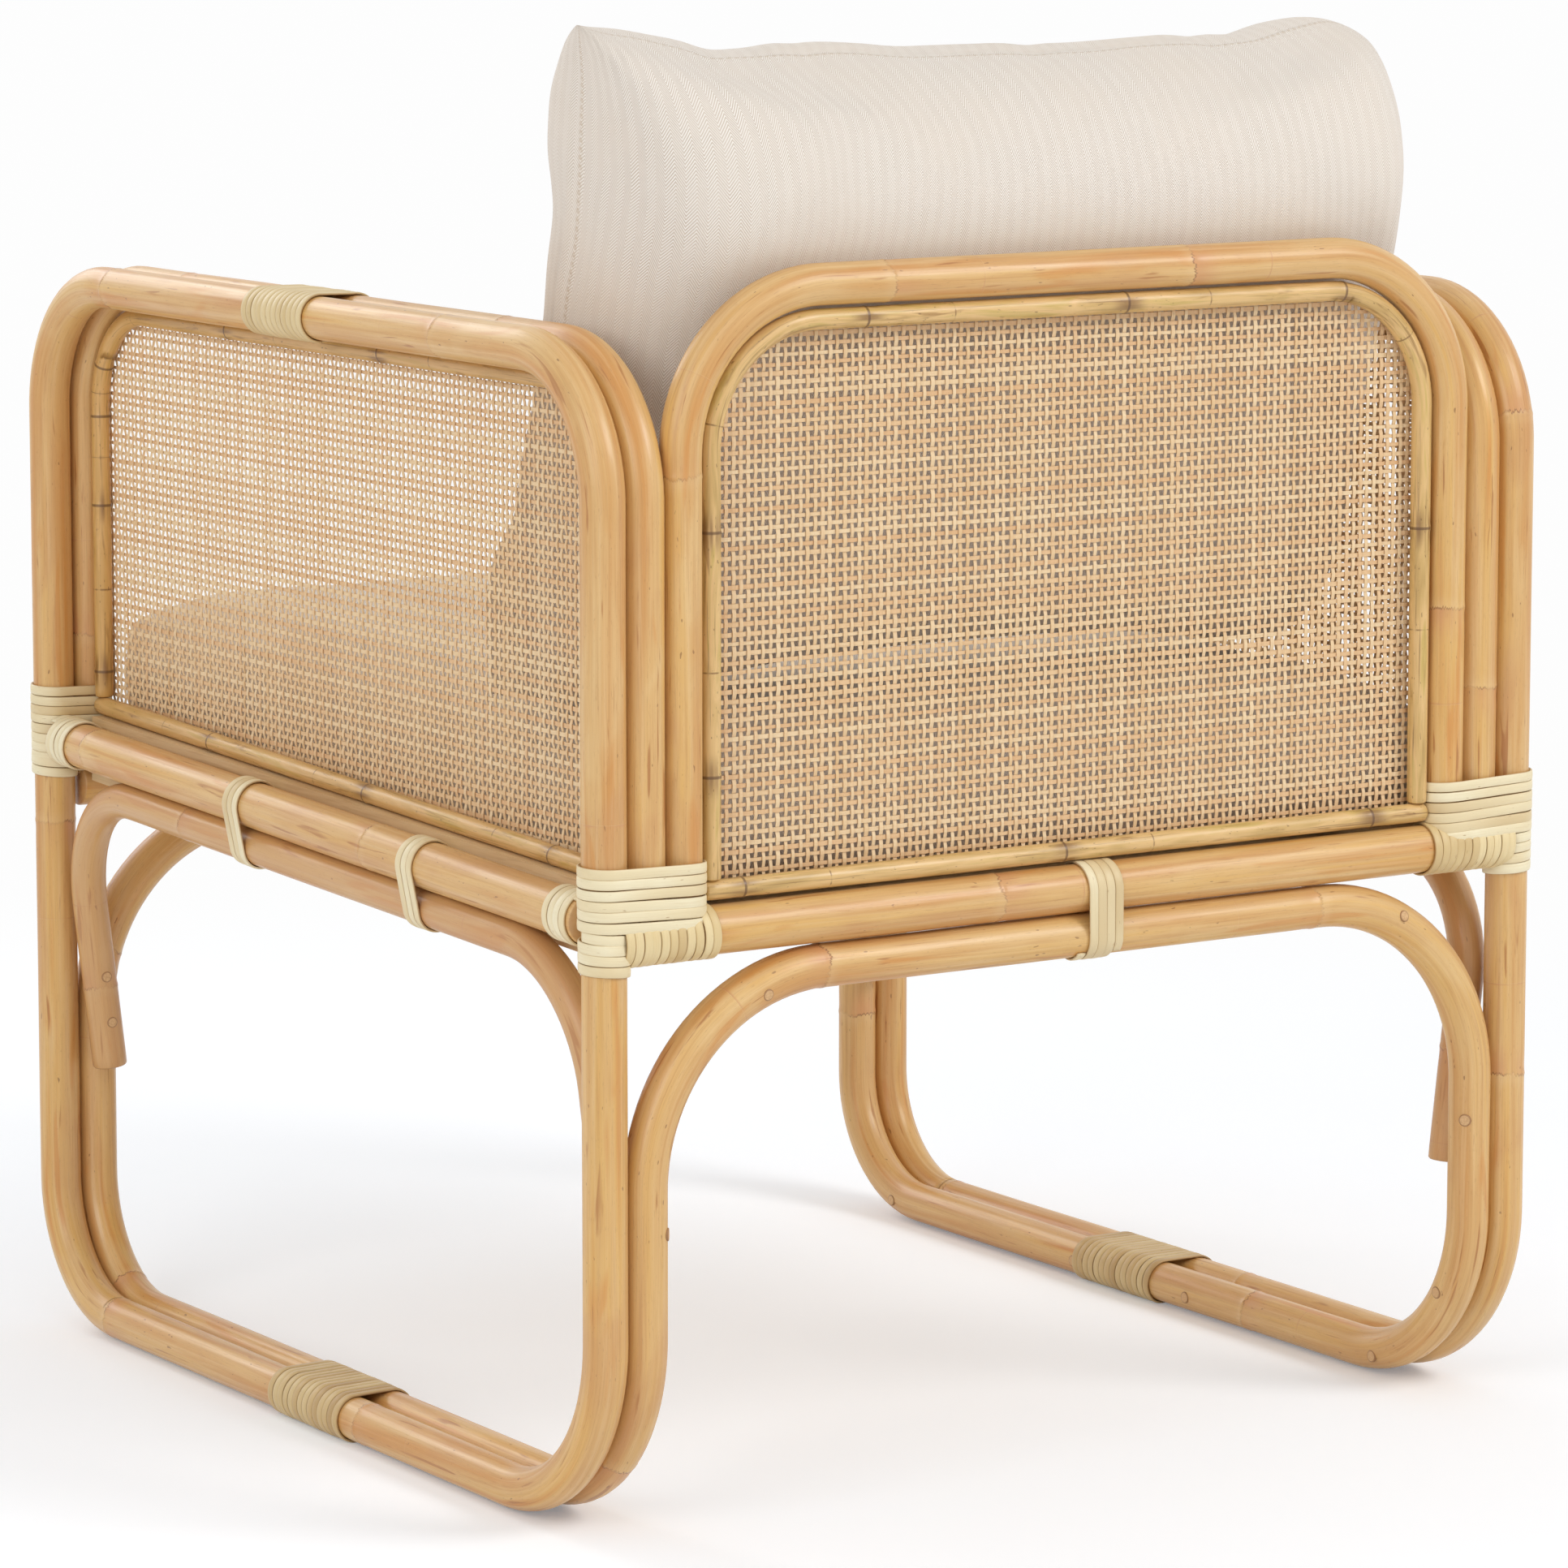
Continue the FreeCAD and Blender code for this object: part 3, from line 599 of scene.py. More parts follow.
def wound(name, node, circles, origin, axes, turns, seed, pitch=STRIP_PITCH, material=peel,
          wide=6.0, turn_from=0.0, floor=None):
    """A flat strip with eased edges, wound round circles in the plane of two axes, climbing along a third."""
    thick = 1.5
    u_axis, v_axis, line = axes
    random = np.random.default_rng(seed)
    loop = taut_loop(circles, turn_from)
    closed = np.concatenate([loop, loop[:1]])
    share = lengths_of(closed)
    share = share / share[-1]
    ahead = np.roll(loop, -1, axis=0) - np.roll(loop, 1, axis=0)
    ahead /= np.linalg.norm(ahead, axis=1)[:, None]
    outward = np.stack([ahead[:, 1], -ahead[:, 0]], 1)
    per = len(loop)
    total = int(round(turns * per)) + 1
    index = np.arange(total)
    turn = index // per
    travelled = turn + share[index % per]
    widths = wide * (1 + random.uniform(-0.07, 0.06, int(turns) + 2))
    lifts = random.uniform(0.0, 0.35, int(turns) + 2)
    tones = random.uniform(0, 1, int(turns) + 2)
    count = np.arange(int(turns) + 2)
    width = np.interp(travelled, count, widths)
    lift = np.interp(travelled, count, lifts)
    tone = np.clip(np.interp(travelled, count, tones) + 0.22 * smooth_noise(travelled, seed + 3, 0.21), 0, 1)
    sway = 0.42 * smooth_noise(travelled, seed + 4, 0.37)
    climb = travelled * pitch + sway
    place = loop[index % per]
    normal = outward[index % per]
    half = [(0.40, 0.91), (0.49, 0.68), (0.5, 0.1)]
    profile = [(-across, rise) for across, rise in half[::-1]] + [(0.0, 1.0)] + half + [(0.0, 0.0)]
    sides = len(profile)
    points = np.zeros((total, sides, 3))
    grain = np.zeros((total, sides, 3))
    edges = np.zeros((total, sides))
    run = np.concatenate([[0], np.cumsum(np.linalg.norm(np.diff(place, axis=0), axis=1))])
    for side, (across, rise) in enumerate(profile):
        out = lift + thick * rise
        flat = place + normal * out[:, None]
        along = (climb + across * width)[:, None] * line
        points[:, side] = origin + flat[:, :1] * u_axis + flat[:, 1:] * v_axis + along
        grain[:, side, 0] = across * wide
        grain[:, side, 1] = rise
        grain[:, side, 2] = run + seed * 31.7
        edges[:, side] = 0 if abs(across) < 0.1 and rise > 0.5 else abs(2 * across)
    points = points.reshape(-1, 3)
    if floor is not None:
        points[:, 2] = np.maximum(points[:, 2], floor)
    attributes = {
        "grain": grain.reshape(-1, 3) * MM,
        "edge": edges.ravel(),
        "tone": np.repeat(tone, sides),
    }
    piece(name, points, tube_faces(total, sides), material, attributes, node)


def build_poles():
    """Every bent and straight pole of the frame."""
    for name, side in SIDES:
        seed = 10 if side > 0 else 40
        x = side * LOOP_X
        corners = [(x, LOOP_JOINT_Y + JOINT_GAP / 2, ARM_Z), (x, LEG_Y, ARM_Z), (x, LEG_Y, RUNNER_Z),
                   (x, -LEG_Y, RUNNER_Z), (x, -LEG_Y, ARM_Z), (x, LOOP_JOINT_Y - JOINT_GAP / 2, ARM_Z)]
        bends = (TOP_BEND, REAR_FOOT_BEND, FRONT_FOOT_BEND, TOP_BEND)
        knots = (187, 640, 1205, 1529, 1888, 2297) if side > 0 else (120, 388, 792, 1193, 1527, 1870, 2230)
        pole("loop_" + name, corners, bends, LOOP, seed, knots, tone=0.1)
        x = side * ARM_X
        corners = [(x, LEG_Y, POLE_FOOT_Z), (x, LEG_Y, ARM_Z), (x, -LEG_Y, ARM_Z), (x, -LEG_Y, POLE_FOOT_Z)]
        knots = (430, 812, 1151) if side > 0 else (90, 470, 860, 1180)
        pole("arm_pole_" + name, corners, (TOP_BEND, TOP_BEND), ARM, seed + 1, knots)
        x = side * LOOP_X
        y = LEG_Y - SIDE_RAIL_INSET
        corners = [(x, -y, rail_z(-y)), (x, y, rail_z(y))]
        knots = (48, 405) if side > 0 else (210, 560)
        pole("side_rail_" + name, corners, (), SIDE_RAIL, seed + 2, knots, tone=0.12)
        top_x = side * ARCH_TOP_X
        foot_x = side * ARCH_FOOT_X
        corners = [(foot_x, ARCH_Y, REAR_ARCH_FOOT_Z), (top_x, ARCH_Y, rail_z(ARCH_Y) - ARCH_DROP),
                   (top_x, -ARCH_Y, rail_z(-ARCH_Y) - ARCH_DROP), (foot_x, -ARCH_Y, FRONT_ARCH_FOOT_Z)]
        bends = (SIDE_ARCH_BEND, SIDE_ARCH_BEND)
        # The arches' high tone browns them: painted shade of the seat above them.
        pole("side_arch_" + name, corners, bends, SIDE_ARCH, seed + 3, (70, 330, 621, 880), tone=0.62)
    for name, y, bend, seed in (("rear", LEG_Y, REAR_FOOT_BEND, 70), ("front", -LEG_Y, FRONT_FOOT_BEND, 75)):
        end = math.copysign(JOINT_GAP / 2, y)
        corners = [(UNDER_X, RUNNER_JOINT_LEFT_Y + end, RUNNER_Z), (UNDER_X, y, RUNNER_Z),
                   (UNDER_X, y, UNDER_ARCH_Z), (-UNDER_X, y, UNDER_ARCH_Z), (-UNDER_X, y, RUNNER_Z),
                   (-UNDER_X, RUNNER_JOINT_RIGHT_Y + end, RUNNER_Z)]
        bends = (bend, UNDER_ARCH_BEND, UNDER_ARCH_BEND, bend)
        knots = (310, 659, 1010, 1559) if y > 0 else (301, 532, 900, 1290)
        pole("under_pole_" + name, corners, bends, UNDER, seed, knots)
    x = LOOP_X - SIDE_RAIL_INSET
    for name, y, seed, knots in (("back", LEG_Y, 80, (368,)), ("front", -LEG_Y, 84, (150, 500))):
        pole(name + "_rail", [(-x, y, RAIL_Z), (x, y, RAIL_Z)], (), CROSS_RAIL, seed, knots)
    corners = [(-BACK_X, LEG_Y, POLE_FOOT_Z), (-BACK_X, LEG_Y, BACK_TOP_Z), (BACK_X, LEG_Y, BACK_TOP_Z),
               (BACK_X, LEG_Y, POLE_FOOT_Z)]
    pole("back_frame_pole", corners, (BACK_BEND, BACK_BEND), BACK_FRAME, 90, (140, 513, 723, 922))


def build_beads():
    """The thin cane beads and sills that hold the woven sheets."""
    thin = {"spans": (150, 240), "ridge": 0.35, "material": bead_cane, "slot": "bead", "sides": 18,
            "step": 6.0}
    x = BACK_X - BEAD_OFFSET
    top = BACK_TOP_Z - BEAD_OFFSET
    low = 377.0
    bend = BACK_BEND - BEAD_BEND_LESS
    corners = [(-x, LEG_Y, low), (-x, LEG_Y, top), (x, LEG_Y, top), (x, LEG_Y, low)]
    pole("back_bead", corners, (bend, bend), BEAD, 110, (167, 344, 503, 684, 872, 1010), **thin)
    x = BACK_X - BACK_FRAME / 2 - 2.6
    z = 370.8
    pole("back_sill", [(-x, LEG_Y, z), (x, LEG_Y, z)], (), SILL, 112, **thin)
    top = ARM_Z - BEAD_OFFSET
    bend = TOP_BEND - BEAD_BEND_LESS
    foot = (14.7 + SILL) / math.cos(SLOPE)
    rise = (14.55 + SILL / 2) / math.cos(SLOPE)
    for name, side in SIDES:
        seed = 114 if side > 0 else 124
        x = side * UNDER_X
        y = LEG_Y - BEAD_OFFSET
        corners = [(x, y, rail_z(y) + foot), (x, y, top), (x, -y, top), (x, -y, rail_z(-y) + foot)]
        knots = (120, 300, 511, 700, 885, 919, 976, 1083)
        pole(name + "_bead", corners, (bend, bend), BEAD, seed, knots, tone=0.7, **thin)
        y = LEG_Y - ARM / 2 - 2.4
        corners = [(x, -y, rail_z(-y) + rise), (x, y, rail_z(y) + rise)]
        pole(name + "_sill", corners, (), SILL, seed + 2, (153, 349, 564), tone=0.45, **thin)


def build_bindings():
    """Every wound strip: arms, runners, corners, ties, and the wraps of single poles."""
    r = LOOP / 2
    wrap_long = 30
    wrap_inset = 15.8
    for name, side in SIDES:
        seed = 200 if side > 0 else 300
        x = side * LOOP_X
        inner = -side * X
        start = LOOP_JOINT_Y - STRIP_PITCH * 11.5 / 2
        wound("arm_wrap_" + name, "arm_binding_" + name, [(0, 0, r), (LOOP_X - ARM_X, 0, ARM / 2)],
              (x, start, ARM_Z), (inner, Z, Y), 12, seed, material=arm_peel, turn_from=-1.6)
        start = (RUNNER_JOINT_LEFT_Y if side > 0 else RUNNER_JOINT_RIGHT_Y) - STRIP_PITCH * 13.5 / 2
        wound("runner_wrap_" + name, "runner_binding_" + name, [(0, 0, r), (LOOP_X - UNDER_X, 0, UNDER / 2)],
              (x, start, RUNNER_Z), (inner, Z, Y), 14, seed + 5, material=runner_peel,
              turn_from=-1.6, floor=0.0)
        wound("rear_corner_wrap_" + name, "rear_corner_binding_" + name,
              [(0, 0, r + 0.4), (LOOP_X - BACK_X, 0, BACK_FRAME / 2 + 0.4), (LOOP_X - BACK_X - 4, 0, 13.4)],
              (x, LEG_Y, 354.2), (inner, Y, Z), 6, seed + 10, pitch=6.15, turn_from=-1.57)
        wound("front_corner_wrap_" + name, "front_corner_binding_" + name,
              [(0, 0, r), (LOOP_X - ARM_X, 0, ARM / 2)], (x, -LEG_Y, 366.8), (inner, Y, Z), 7.9, seed + 15,
              turn_from=1.2)
        legs = (("rear", LEG_Y, 330.4, 3.6, 20), ("front", -LEG_Y, 356.6, 1.9, 25))
        for place, y, low, turns, shift in legs:
            wound(place + "_leg_strips_" + name, place + "_leg_wrap_" + name, [(0, 0, r)], (x, y, low),
                  (inner, Y, Z), turns, seed + shift, turn_from=-0.6)
        for place, sign, shift in (("rear", 1, 30), ("front", -1, 35)):
            far = sign * (LEG_Y - wrap_inset - wrap_long)
            origin = np.array((x, far, rail_z(far))) + SEAT_LINE * sign * 3.2
            wound(place + "_rail_strips_" + name, place + "_side_rail_wrap_" + name, [(0, 0, SIDE_RAIL / 2)],
                  origin, (inner, SEAT_UP, SEAT_LINE * sign), 4.5, seed + shift, pitch=5.9, wide=5.8,
                  turn_from=-0.9)
        # The back rail's strips take the darker copy of the peel, which is painted shade.
        wound("back_rail_strips_" + name, "back_rail_wrap_" + name, [(0, 0, CROSS_RAIL / 2)],
              (side * 255.0, LEG_Y, RAIL_Z), (Y, Z, side * X), 10.8, seed + 40, pitch=5.7, material=shaded_peel,
              wide=5.6, turn_from=3.1)
        for place, y, shift in (("rear", SIDE_TIE_REAR_Y, 45), ("front", SIDE_TIE_FRONT_Y, 50)):
            origin = np.array((x, y, rail_z(y))) - SEAT_LINE * STRIP_PITCH * 1.25
            wound("side_tie_" + place + "_" + name + "_strips", "side_tie_" + place + "_" + name,
                  [(0, 0, SIDE_RAIL / 2), (2.0, -ARCH_DROP, SIDE_ARCH / 2)], origin,
                  (inner, SEAT_UP, SEAT_LINE), 3, seed + shift, turn_from=-1.2)
    for name, y, seed in (("back", LEG_Y, 400), ("front", -LEG_Y, 410)):
        wound(name + "_tie_strips", name + "_tie",
              [(0, 0, CROSS_RAIL / 2), (0, UNDER_ARCH_Z - RAIL_Z, UNDER / 2)],
              (CROSS_TIE_X - STRIP_PITCH * 1.75, y, RAIL_Z), (Y, Z, X), 4, seed, turn_from=-1.2)


def weave(node, seed, half, foot, top, corner, place):
    """A sheet of plain square weave, its strands over and under each other, cut to a round-topped outline."""
    pitch_across = 5.0
    pitch_up = 5.4
    random = np.random.default_rng(seed)
    swing = 0.4
    thick = 0.24

    def top_at(x):
        """Height of the outline over a place across the sheet."""
        inset = np.clip(np.abs(x) - (half - corner), 0, corner)
        return top - corner + np.sqrt(np.maximum(corner**2 - inset**2, 0))

    def half_at(z):
        """Half the outline's width at a height."""
        inset = np.clip(z - (top - corner), 0, corner)
        return half - corner + np.sqrt(np.maximum(corner**2 - inset**2, 0))

    columns = np.arange(-half + 1.8, half - 1.0, pitch_across)
    columns = columns + random.uniform(-0.28, 0.28, len(columns))
    lowest = foot(0) - 20
    rows = np.arange(lowest, top - 1.0, pitch_up)
    rows = rows + random.uniform(-0.28, 0.28, len(rows))
    origin = place(0.0, 0.0, 0.0)
    turned = np.cross(place(1.0, 0.0, 0.0) - origin, place(0.0, 1.0, 0.0) - origin)
    right_handed = bool(turned @ (place(0.0, 0.0, 1.0) - origin) > 0)
    points = []
    faces = []
    grains = []
    tones = []
    count = 0

    def strand(stations, fixed, first_way, low, high, upright, number):
        """One strand through its crossings."""
        nonlocal count
        wide = random.uniform(1.95, 2.65)
        wave = 0.35 * smooth_noise(stations, seed * 977 + number, 75)
        tone = random.uniform(0.35, 1) if upright else random.uniform(0, 0.8)
        flat = 1.1
        places = np.stack([stations - flat, stations + flat], 1).ravel()
        offsets = np.repeat(np.where((np.arange(len(stations)) + first_way) % 2 == 0, swing, -swing), 2)
        side = np.repeat(fixed + wave, 2)
        inside = (places > low) & (places < high)
        if inside.sum() < 2:
            return
        side_low = np.interp(low, places, side)
        side_high = np.interp(high, places, side)
        places = np.concatenate([[low], places[inside], [high]])
        side = np.concatenate([[side_low], side[inside], [side_high]])
        offsets = offsets[inside]
        offsets = np.concatenate([[offsets[0]], offsets, [offsets[-1]]])
        number_of = len(places)
        profile = ((-wide / 2, thick), (wide / 2, thick), (wide / 2, -thick), (-wide / 2, -thick))
        rings = np.zeros((number_of, 4, 3))
        grain = np.zeros((number_of, 4, 3))
        for index, (across, rise) in enumerate(profile):
            if upright:
                rings[:, index] = place(side + across, places, offsets + rise)
            else:
                rings[:, index] = place(places, side + across, offsets + rise)
            grain[:, index, 0] = across + number * 7.3
            grain[:, index, 1] = number * 3.1
            grain[:, index, 2] = places
        points.append(rings.reshape(-1, 3))
        grains.append(grain.reshape(-1, 3) * MM)
        tones.append(np.full(number_of * 4, tone))
        quads = np.array(ring_faces(number_of, 4)) + count
        faces.extend((quads[:, ::-1] if right_handed != upright else quads).tolist())
        count += number_of * 4

    for number, x in enumerate(columns):
        strand(rows, x, number % 2, foot(x), float(top_at(x)), True, number)
    for number, z in enumerate(rows):
        reach = float(half_at(z))
        ends = np.array([x for x in np.linspace(-reach, reach, 400) if foot(x) < z])
        if len(ends) < 8:
            continue
        strand(columns, z, (number + 1) % 2, ends[0], ends[-1], False, number + 1000)
    attributes = {"grain": np.concatenate(grains), "tone": np.concatenate(tones)}
    piece(node + "_weave", np.concatenate(points), faces, cane_weave, attributes, node, smooth=False)


def build_cane():
    """The three woven sheets."""
    y = LEG_Y - CANE_INSET
    weave("back_cane", 500, half=254.0, foot=lambda x: 366.0, top=690.8, corner=74.0,
          place=lambda a, b, out: np.stack(np.broadcast_arrays(a, y + out, b), -1))
    for name, side in SIDES:
        x = side * (UNDER_X - CANE_INSET)
        weave(name + "_cane", 510 + side, half=318.8, foot=lambda a: rail_z(a) + 15.2, top=655.8, corner=63.8,
              place=lambda a, b, out, x=x, side=side: np.stack(np.broadcast_arrays(x + side * out, a, b), -1))


def dress_deck():
    """The bearers and slats keep their CAD solids, with eased edges and pine."""
    for name, cad_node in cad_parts.items():
        if not name.startswith(("seat_bearer", "seat_slat")):
            continue
        cad_node.data.materials.clear()
        cad_node.data.materials.append(slat_wood if name.startswith("seat_slat") else bearer_wood)
        bevel = cad_node.modifiers.new("eased_edges", "BEVEL")
        bevel.width = 0.0012
        bevel.segments = 2
        bevel.limit_method = "ANGLE"


def plug(name, centre, normal, radius=3.3):
    """A sanded dowel end, a little proud of the pole, with an eased rim."""
    normal = unit(np.array(normal, float))
    first = unit(np.cross(normal, (0.31, 0.52, 0.79)))
    second = np.cross(normal, first)
    angles = np.linspace(0, 2 * math.pi, 20, endpoint=False)
    rings = []
    rims = []
    # Each ring: share of the radius, rise, and the share of painted shade at the rim.
    profile = ((1.08, -1.2, 1), (1.05, 0.1, 1), (0.92, 0.3, 0.8), (0.8, 0.36, 0), (0.4, 0.42, 0))
    for share, rise, rim in profile:
        spoke = np.cos(angles)[:, None] * first + np.sin(angles)[:, None] * second
        rings.append(np.array(centre) + spoke * (radius * share) + normal * rise)
        rims.extend([rim] * 20)
    points = np.array(rings).reshape(-1, 3)
    faces = ring_faces(5, 20)
    faces.append([80 + side for side in range(20)])
    piece(name, points, faces, dowel_end, {"rim": rims})


def build_plugs():
    """Dowel ends where the real chair's poles are pinned."""
    r = UNDER / 2
    for name, out in (("rear", 1), ("front", -1)):
        y = out * (LEG_Y + r - 0.1)
        plug("plug_arch_" + name + "_left", (221.8, y - out * 0.4, 309.6), (-0.077, 0.978 * out, -0.192))
        plug("plug_arch_" + name + "_right", (-234.5, y - out * 0.4, 310.9), (-0.143, 0.95 * out, 0.277))
    for name, side in SIDES:
        x = side * (UNDER_X - r + 0.1)
        spots = [("bend", 260.0, 14.3), ("high", 323.2, 67.4), ("tie", 65.0, 13.0), ("mid", -60.0, 13.0),
                 ("front_bend", -275.0, 14.3)]
        for place, y, z in spots[2:] if side > 0 else spots:
            plug("plug_runner_" + place + "_" + name, (x, y, z), (-side, 0, 0), 3.6)
        plug("plug_leg_" + name, (side * 286.5, 345.5, 178.8), (-side * 0.8, 0.6, 0), 3.6)
        for place, y, z in (("front", -ARCH_Y, 227), ("front_low", -ARCH_Y, 197), ("rear", ARCH_Y, 207),
                            ("rear_low", ARCH_Y, 177)):
            foot = REAR_ARCH_FOOT_Z if y > 0 else FRONT_ARCH_FOOT_Z
            top = rail_z(y) - ARCH_DROP
            x = side * (ARCH_FOOT_X + (ARCH_TOP_X - ARCH_FOOT_X) * (z - foot) / (top - foot))
            facing = -math.copysign(1, y)
            centre = (x, y + facing * (SIDE_ARCH / 2 - 0.15), z)
            plug("plug_foot_" + place + "_" + name, centre, (0, facing, 0))


def even_stations(table, half, depth):
    """Places from one edge to the other, evenly spaced along the cushion's profile, and its height shares."""
    inset = np.linspace(0, half, 1500)
    share = np.interp(inset, [row[0] for row in table], [row[1] for row in table])
    kernel = np.ones(9) / 9
    padded = np.concatenate([-share[1:5][::-1], share, np.ones(4)])
    share = np.convolve(padded, kernel, "valid")[: len(inset)]
    share[0] = 0
    run = lengths_of(np.stack([inset, share * depth, inset * 0], 1))
    count = int(run[-1] / CLOTH_STEP) + 1
    even = np.linspace(0, run[-1], count)
    insets = np.interp(even, run, inset)
    shares = np.interp(even, run, share)
    left = np.stack([insets - half, shares, even - run[-1]], 1)
    right = np.stack([half - insets, shares, run[-1] - even], 1)[::-1][1:]
    return np.concatenate([left, right])


def cushion_grid(width, high, depths, tables, draws, corner=0, power=0):
    """Two panels on one square grid that share their border, in the cushion's own frame."""
    mean = (depths[0] + depths[1]) / 2
    across = even_stations(tables[0], width / 2, mean)
    upward = even_stations(tables[0], high / 2, mean)
    nx = len(across)
    ny = len(upward)
    grid_x, grid_y = np.meshgrid(across[:, 0], upward[:, 0], indexing="ij")
    fabric_x, fabric_y = np.meshgrid(across[:, 2], upward[:, 2], indexing="ij")
    u = grid_x / (width / 2)
    v = grid_y / (high / 2)
    side_draw, top_draw, foot_draw = draws
    x = grid_x - side_draw * (1 - v**2) * u * np.abs(u)
    y = grid_y - np.where(v > 0, top_draw, foot_draw) * (1 - u**2) * v * np.abs(v)
    if corner:
        a = np.clip(np.abs(x) - (width / 2 - corner), 0, None)
        b = np.clip(np.abs(y) - (high / 2 - corner), 0, None)
        x = np.sign(x) * (np.abs(x) - a + a * np.sqrt(np.maximum(1 - b**2 / (2 * corner**2), 0)))
        y = np.sign(y) * (np.abs(y) - b + b * np.sqrt(np.maximum(1 - a**2 / (2 * corner**2), 0)))
    panels = []
    for depth, table in zip(depths, tables):
        insets = [row[0] for row in table]
        shares = [row[1] for row in table]
        gx = np.interp(width / 2 - np.abs(grid_x), insets, shares)
        gy = np.interp(high / 2 - np.abs(grid_y), insets, shares)
        if power:
            share = np.clip(1 - ((1 - gx) ** power + (1 - gy) ** power) ** (1 / power), 0, 1)
        else:
            share = gx * gy
        border = np.zeros((nx, ny), bool)
        border[[0, -1], :] = True
        border[:, [0, -1]] = True
        share[border] = 0
        panels.append(share * depth)
    first = np.stack([x, y, panels[0]], -1).reshape(-1, 3)
    second = np.stack([x, y, -panels[1]], -1).reshape(-1, 3)
    index = np.arange(nx * ny).reshape(nx, ny)
    inner = ~border.ravel()
    other = np.full(nx * ny, -1)
    other[inner] = nx * ny + np.arange(inner.sum())
    other[~inner] = index.ravel()[~inner]
    other = other.reshape(nx, ny)
    points = np.concatenate([first, second[inner]])
    quads = np.stack([index[:-1, :-1], index[1:, :-1], index[1:, 1:], index[:-1, 1:]], -1).reshape(-1, 4)
    back = np.stack([other[:-1, :-1], other[:-1, 1:], other[1:, 1:], other[1:, :-1]], -1).reshape(-1, 4)
    faces = quads.tolist() + back.tolist()
    cloth = np.stack([fabric_x, fabric_y, fabric_x * 0], -1).reshape(-1, 3)
    cloth = np.concatenate([cloth, cloth[inner] + (2.6, 3.1, 0)])
    ix, iy = np.meshgrid(np.arange(nx), np.arange(ny), indexing="ij")
    rings = np.minimum(np.minimum(ix, nx - 1 - ix), np.minimum(iy, ny - 1 - iy)).reshape(-1)
    signed = np.concatenate([rings, -rings[inner]])
    return points, faces, cloth, signed


def inflate(made, seam, most, pressure, growth, shrink):
    """The cushion's points after a cloth simulation that fills it, with its seams held shorter."""
    frames = 20
    mesh = made.data
    count = len(mesh.vertices)
    start = np.zeros(count * 3)
    mesh.vertices.foreach_get("co", start)
    start = start.reshape(-1, 3)
    group = made.vertex_groups.new(name="seams")
    group.add([int(index) for index in np.nonzero(seam)[0]], 1.0, "REPLACE")
    cloth = made.modifiers.new("filling", "CLOTH")
    settings = {
        "quality": 5, "mass": 0.25, "tension_stiffness": 18, "compression_stiffness": 18,
        "shear_stiffness": 6, "bending_stiffness": 0.35, "use_pressure": True,
        "uniform_pressure_force": pressure, "vertex_group_shrink": "seams", "shrink_min": -growth,
        "shrink_max": shrink,
    }
    for key, value in settings.items():
        setattr(cloth.settings, key, value)
    cloth.settings.effector_weights.gravity = 0
    cloth.collision_settings.use_collision = False
    cloth.point_cache.frame_start = 1
    cloth.point_cache.frame_end = frames
    for number in range(1, frames + 1):
        bpy.context.scene.frame_set(number)
    graph = bpy.context.evaluated_depsgraph_get()
    moved = np.zeros(count * 3)
    made.evaluated_get(graph).data.vertices.foreach_get("co", moved)
    moved = moved.reshape(-1, 3)
    made.modifiers.remove(cloth)
    bpy.context.scene.frame_set(1)
    step = moved - start
    length = np.linalg.norm(step, axis=1)
    capped = start + step * (np.minimum(length, most * MM) / np.maximum(length, 1e-9))[:, None]
    return capped / MM


def fitted(world, points, matrix):
    """The simulated cushion brought back to the size it was drawn with, in its own frame."""
    local = (world - matrix[:3, 3]) @ matrix[:3, :3]
    for axis in range(3):
        for sign in (1, -1):
            part = sign * local[:, axis] > 0
            drawn = (sign * points[:, axis]).max()
            local[part, axis] *= drawn / (sign * local[:, axis]).max()
    return local @ matrix[:3, :3].T + matrix[:3, 3]


def evened(world, drawn, faces, rounds):
    """The simulated moves averaged with their neighbours', so that small folds smooth out."""
    pairs = np.array([(face[index - 1], face[index]) for face in faces for index in range(len(face))])
    moves = world - drawn
    share = np.zeros(len(world))
    np.add.at(share, pairs[:, 0], 1)
    np.add.at(share, pairs[:, 1], 1)
    for number in range(rounds):
        total = np.zeros_like(moves)
        np.add.at(total, pairs[:, 0], moves[pairs[:, 1]])
        np.add.at(total, pairs[:, 1], moves[pairs[:, 0]])
        moves = 0.4 * moves + 0.6 * total / np.maximum(share, 1)[:, None]
    return drawn + moves


def cushion(node, grid, place, seams, shape, filling, rounds):
    """A filled cushion: gridded panels, simulated, shaped clear of its neighbours, then smoothed."""
    points, faces, cloth, rings = grid
    world = points @ place[:3, :3].T + place[:3, 3]
    distance = np.full(len(points), 60.0)
    for ring in seams:
        distance = np.minimum(distance, np.abs(rings - ring) * CLOTH_STEP)
    attributes = {"weave": cloth * MM, "seam": distance * MM}
    made = piece(node + "_fabric", world, faces, herringbone, attributes, node, node)
    filled = inflate(made, distance < CLOTH_STEP / 2, **filling)
    world = fitted(evened(filled, world, faces, rounds), points, place)
    world = shape(world, points)
    made.data.vertices.foreach_set("co", (world * MM).astype(np.float32).ravel())
    made.data.update()
    smooth = made.modifiers.new("smooth", "SUBSURF")
    smooth.levels = 1
    smooth.render_levels = 1


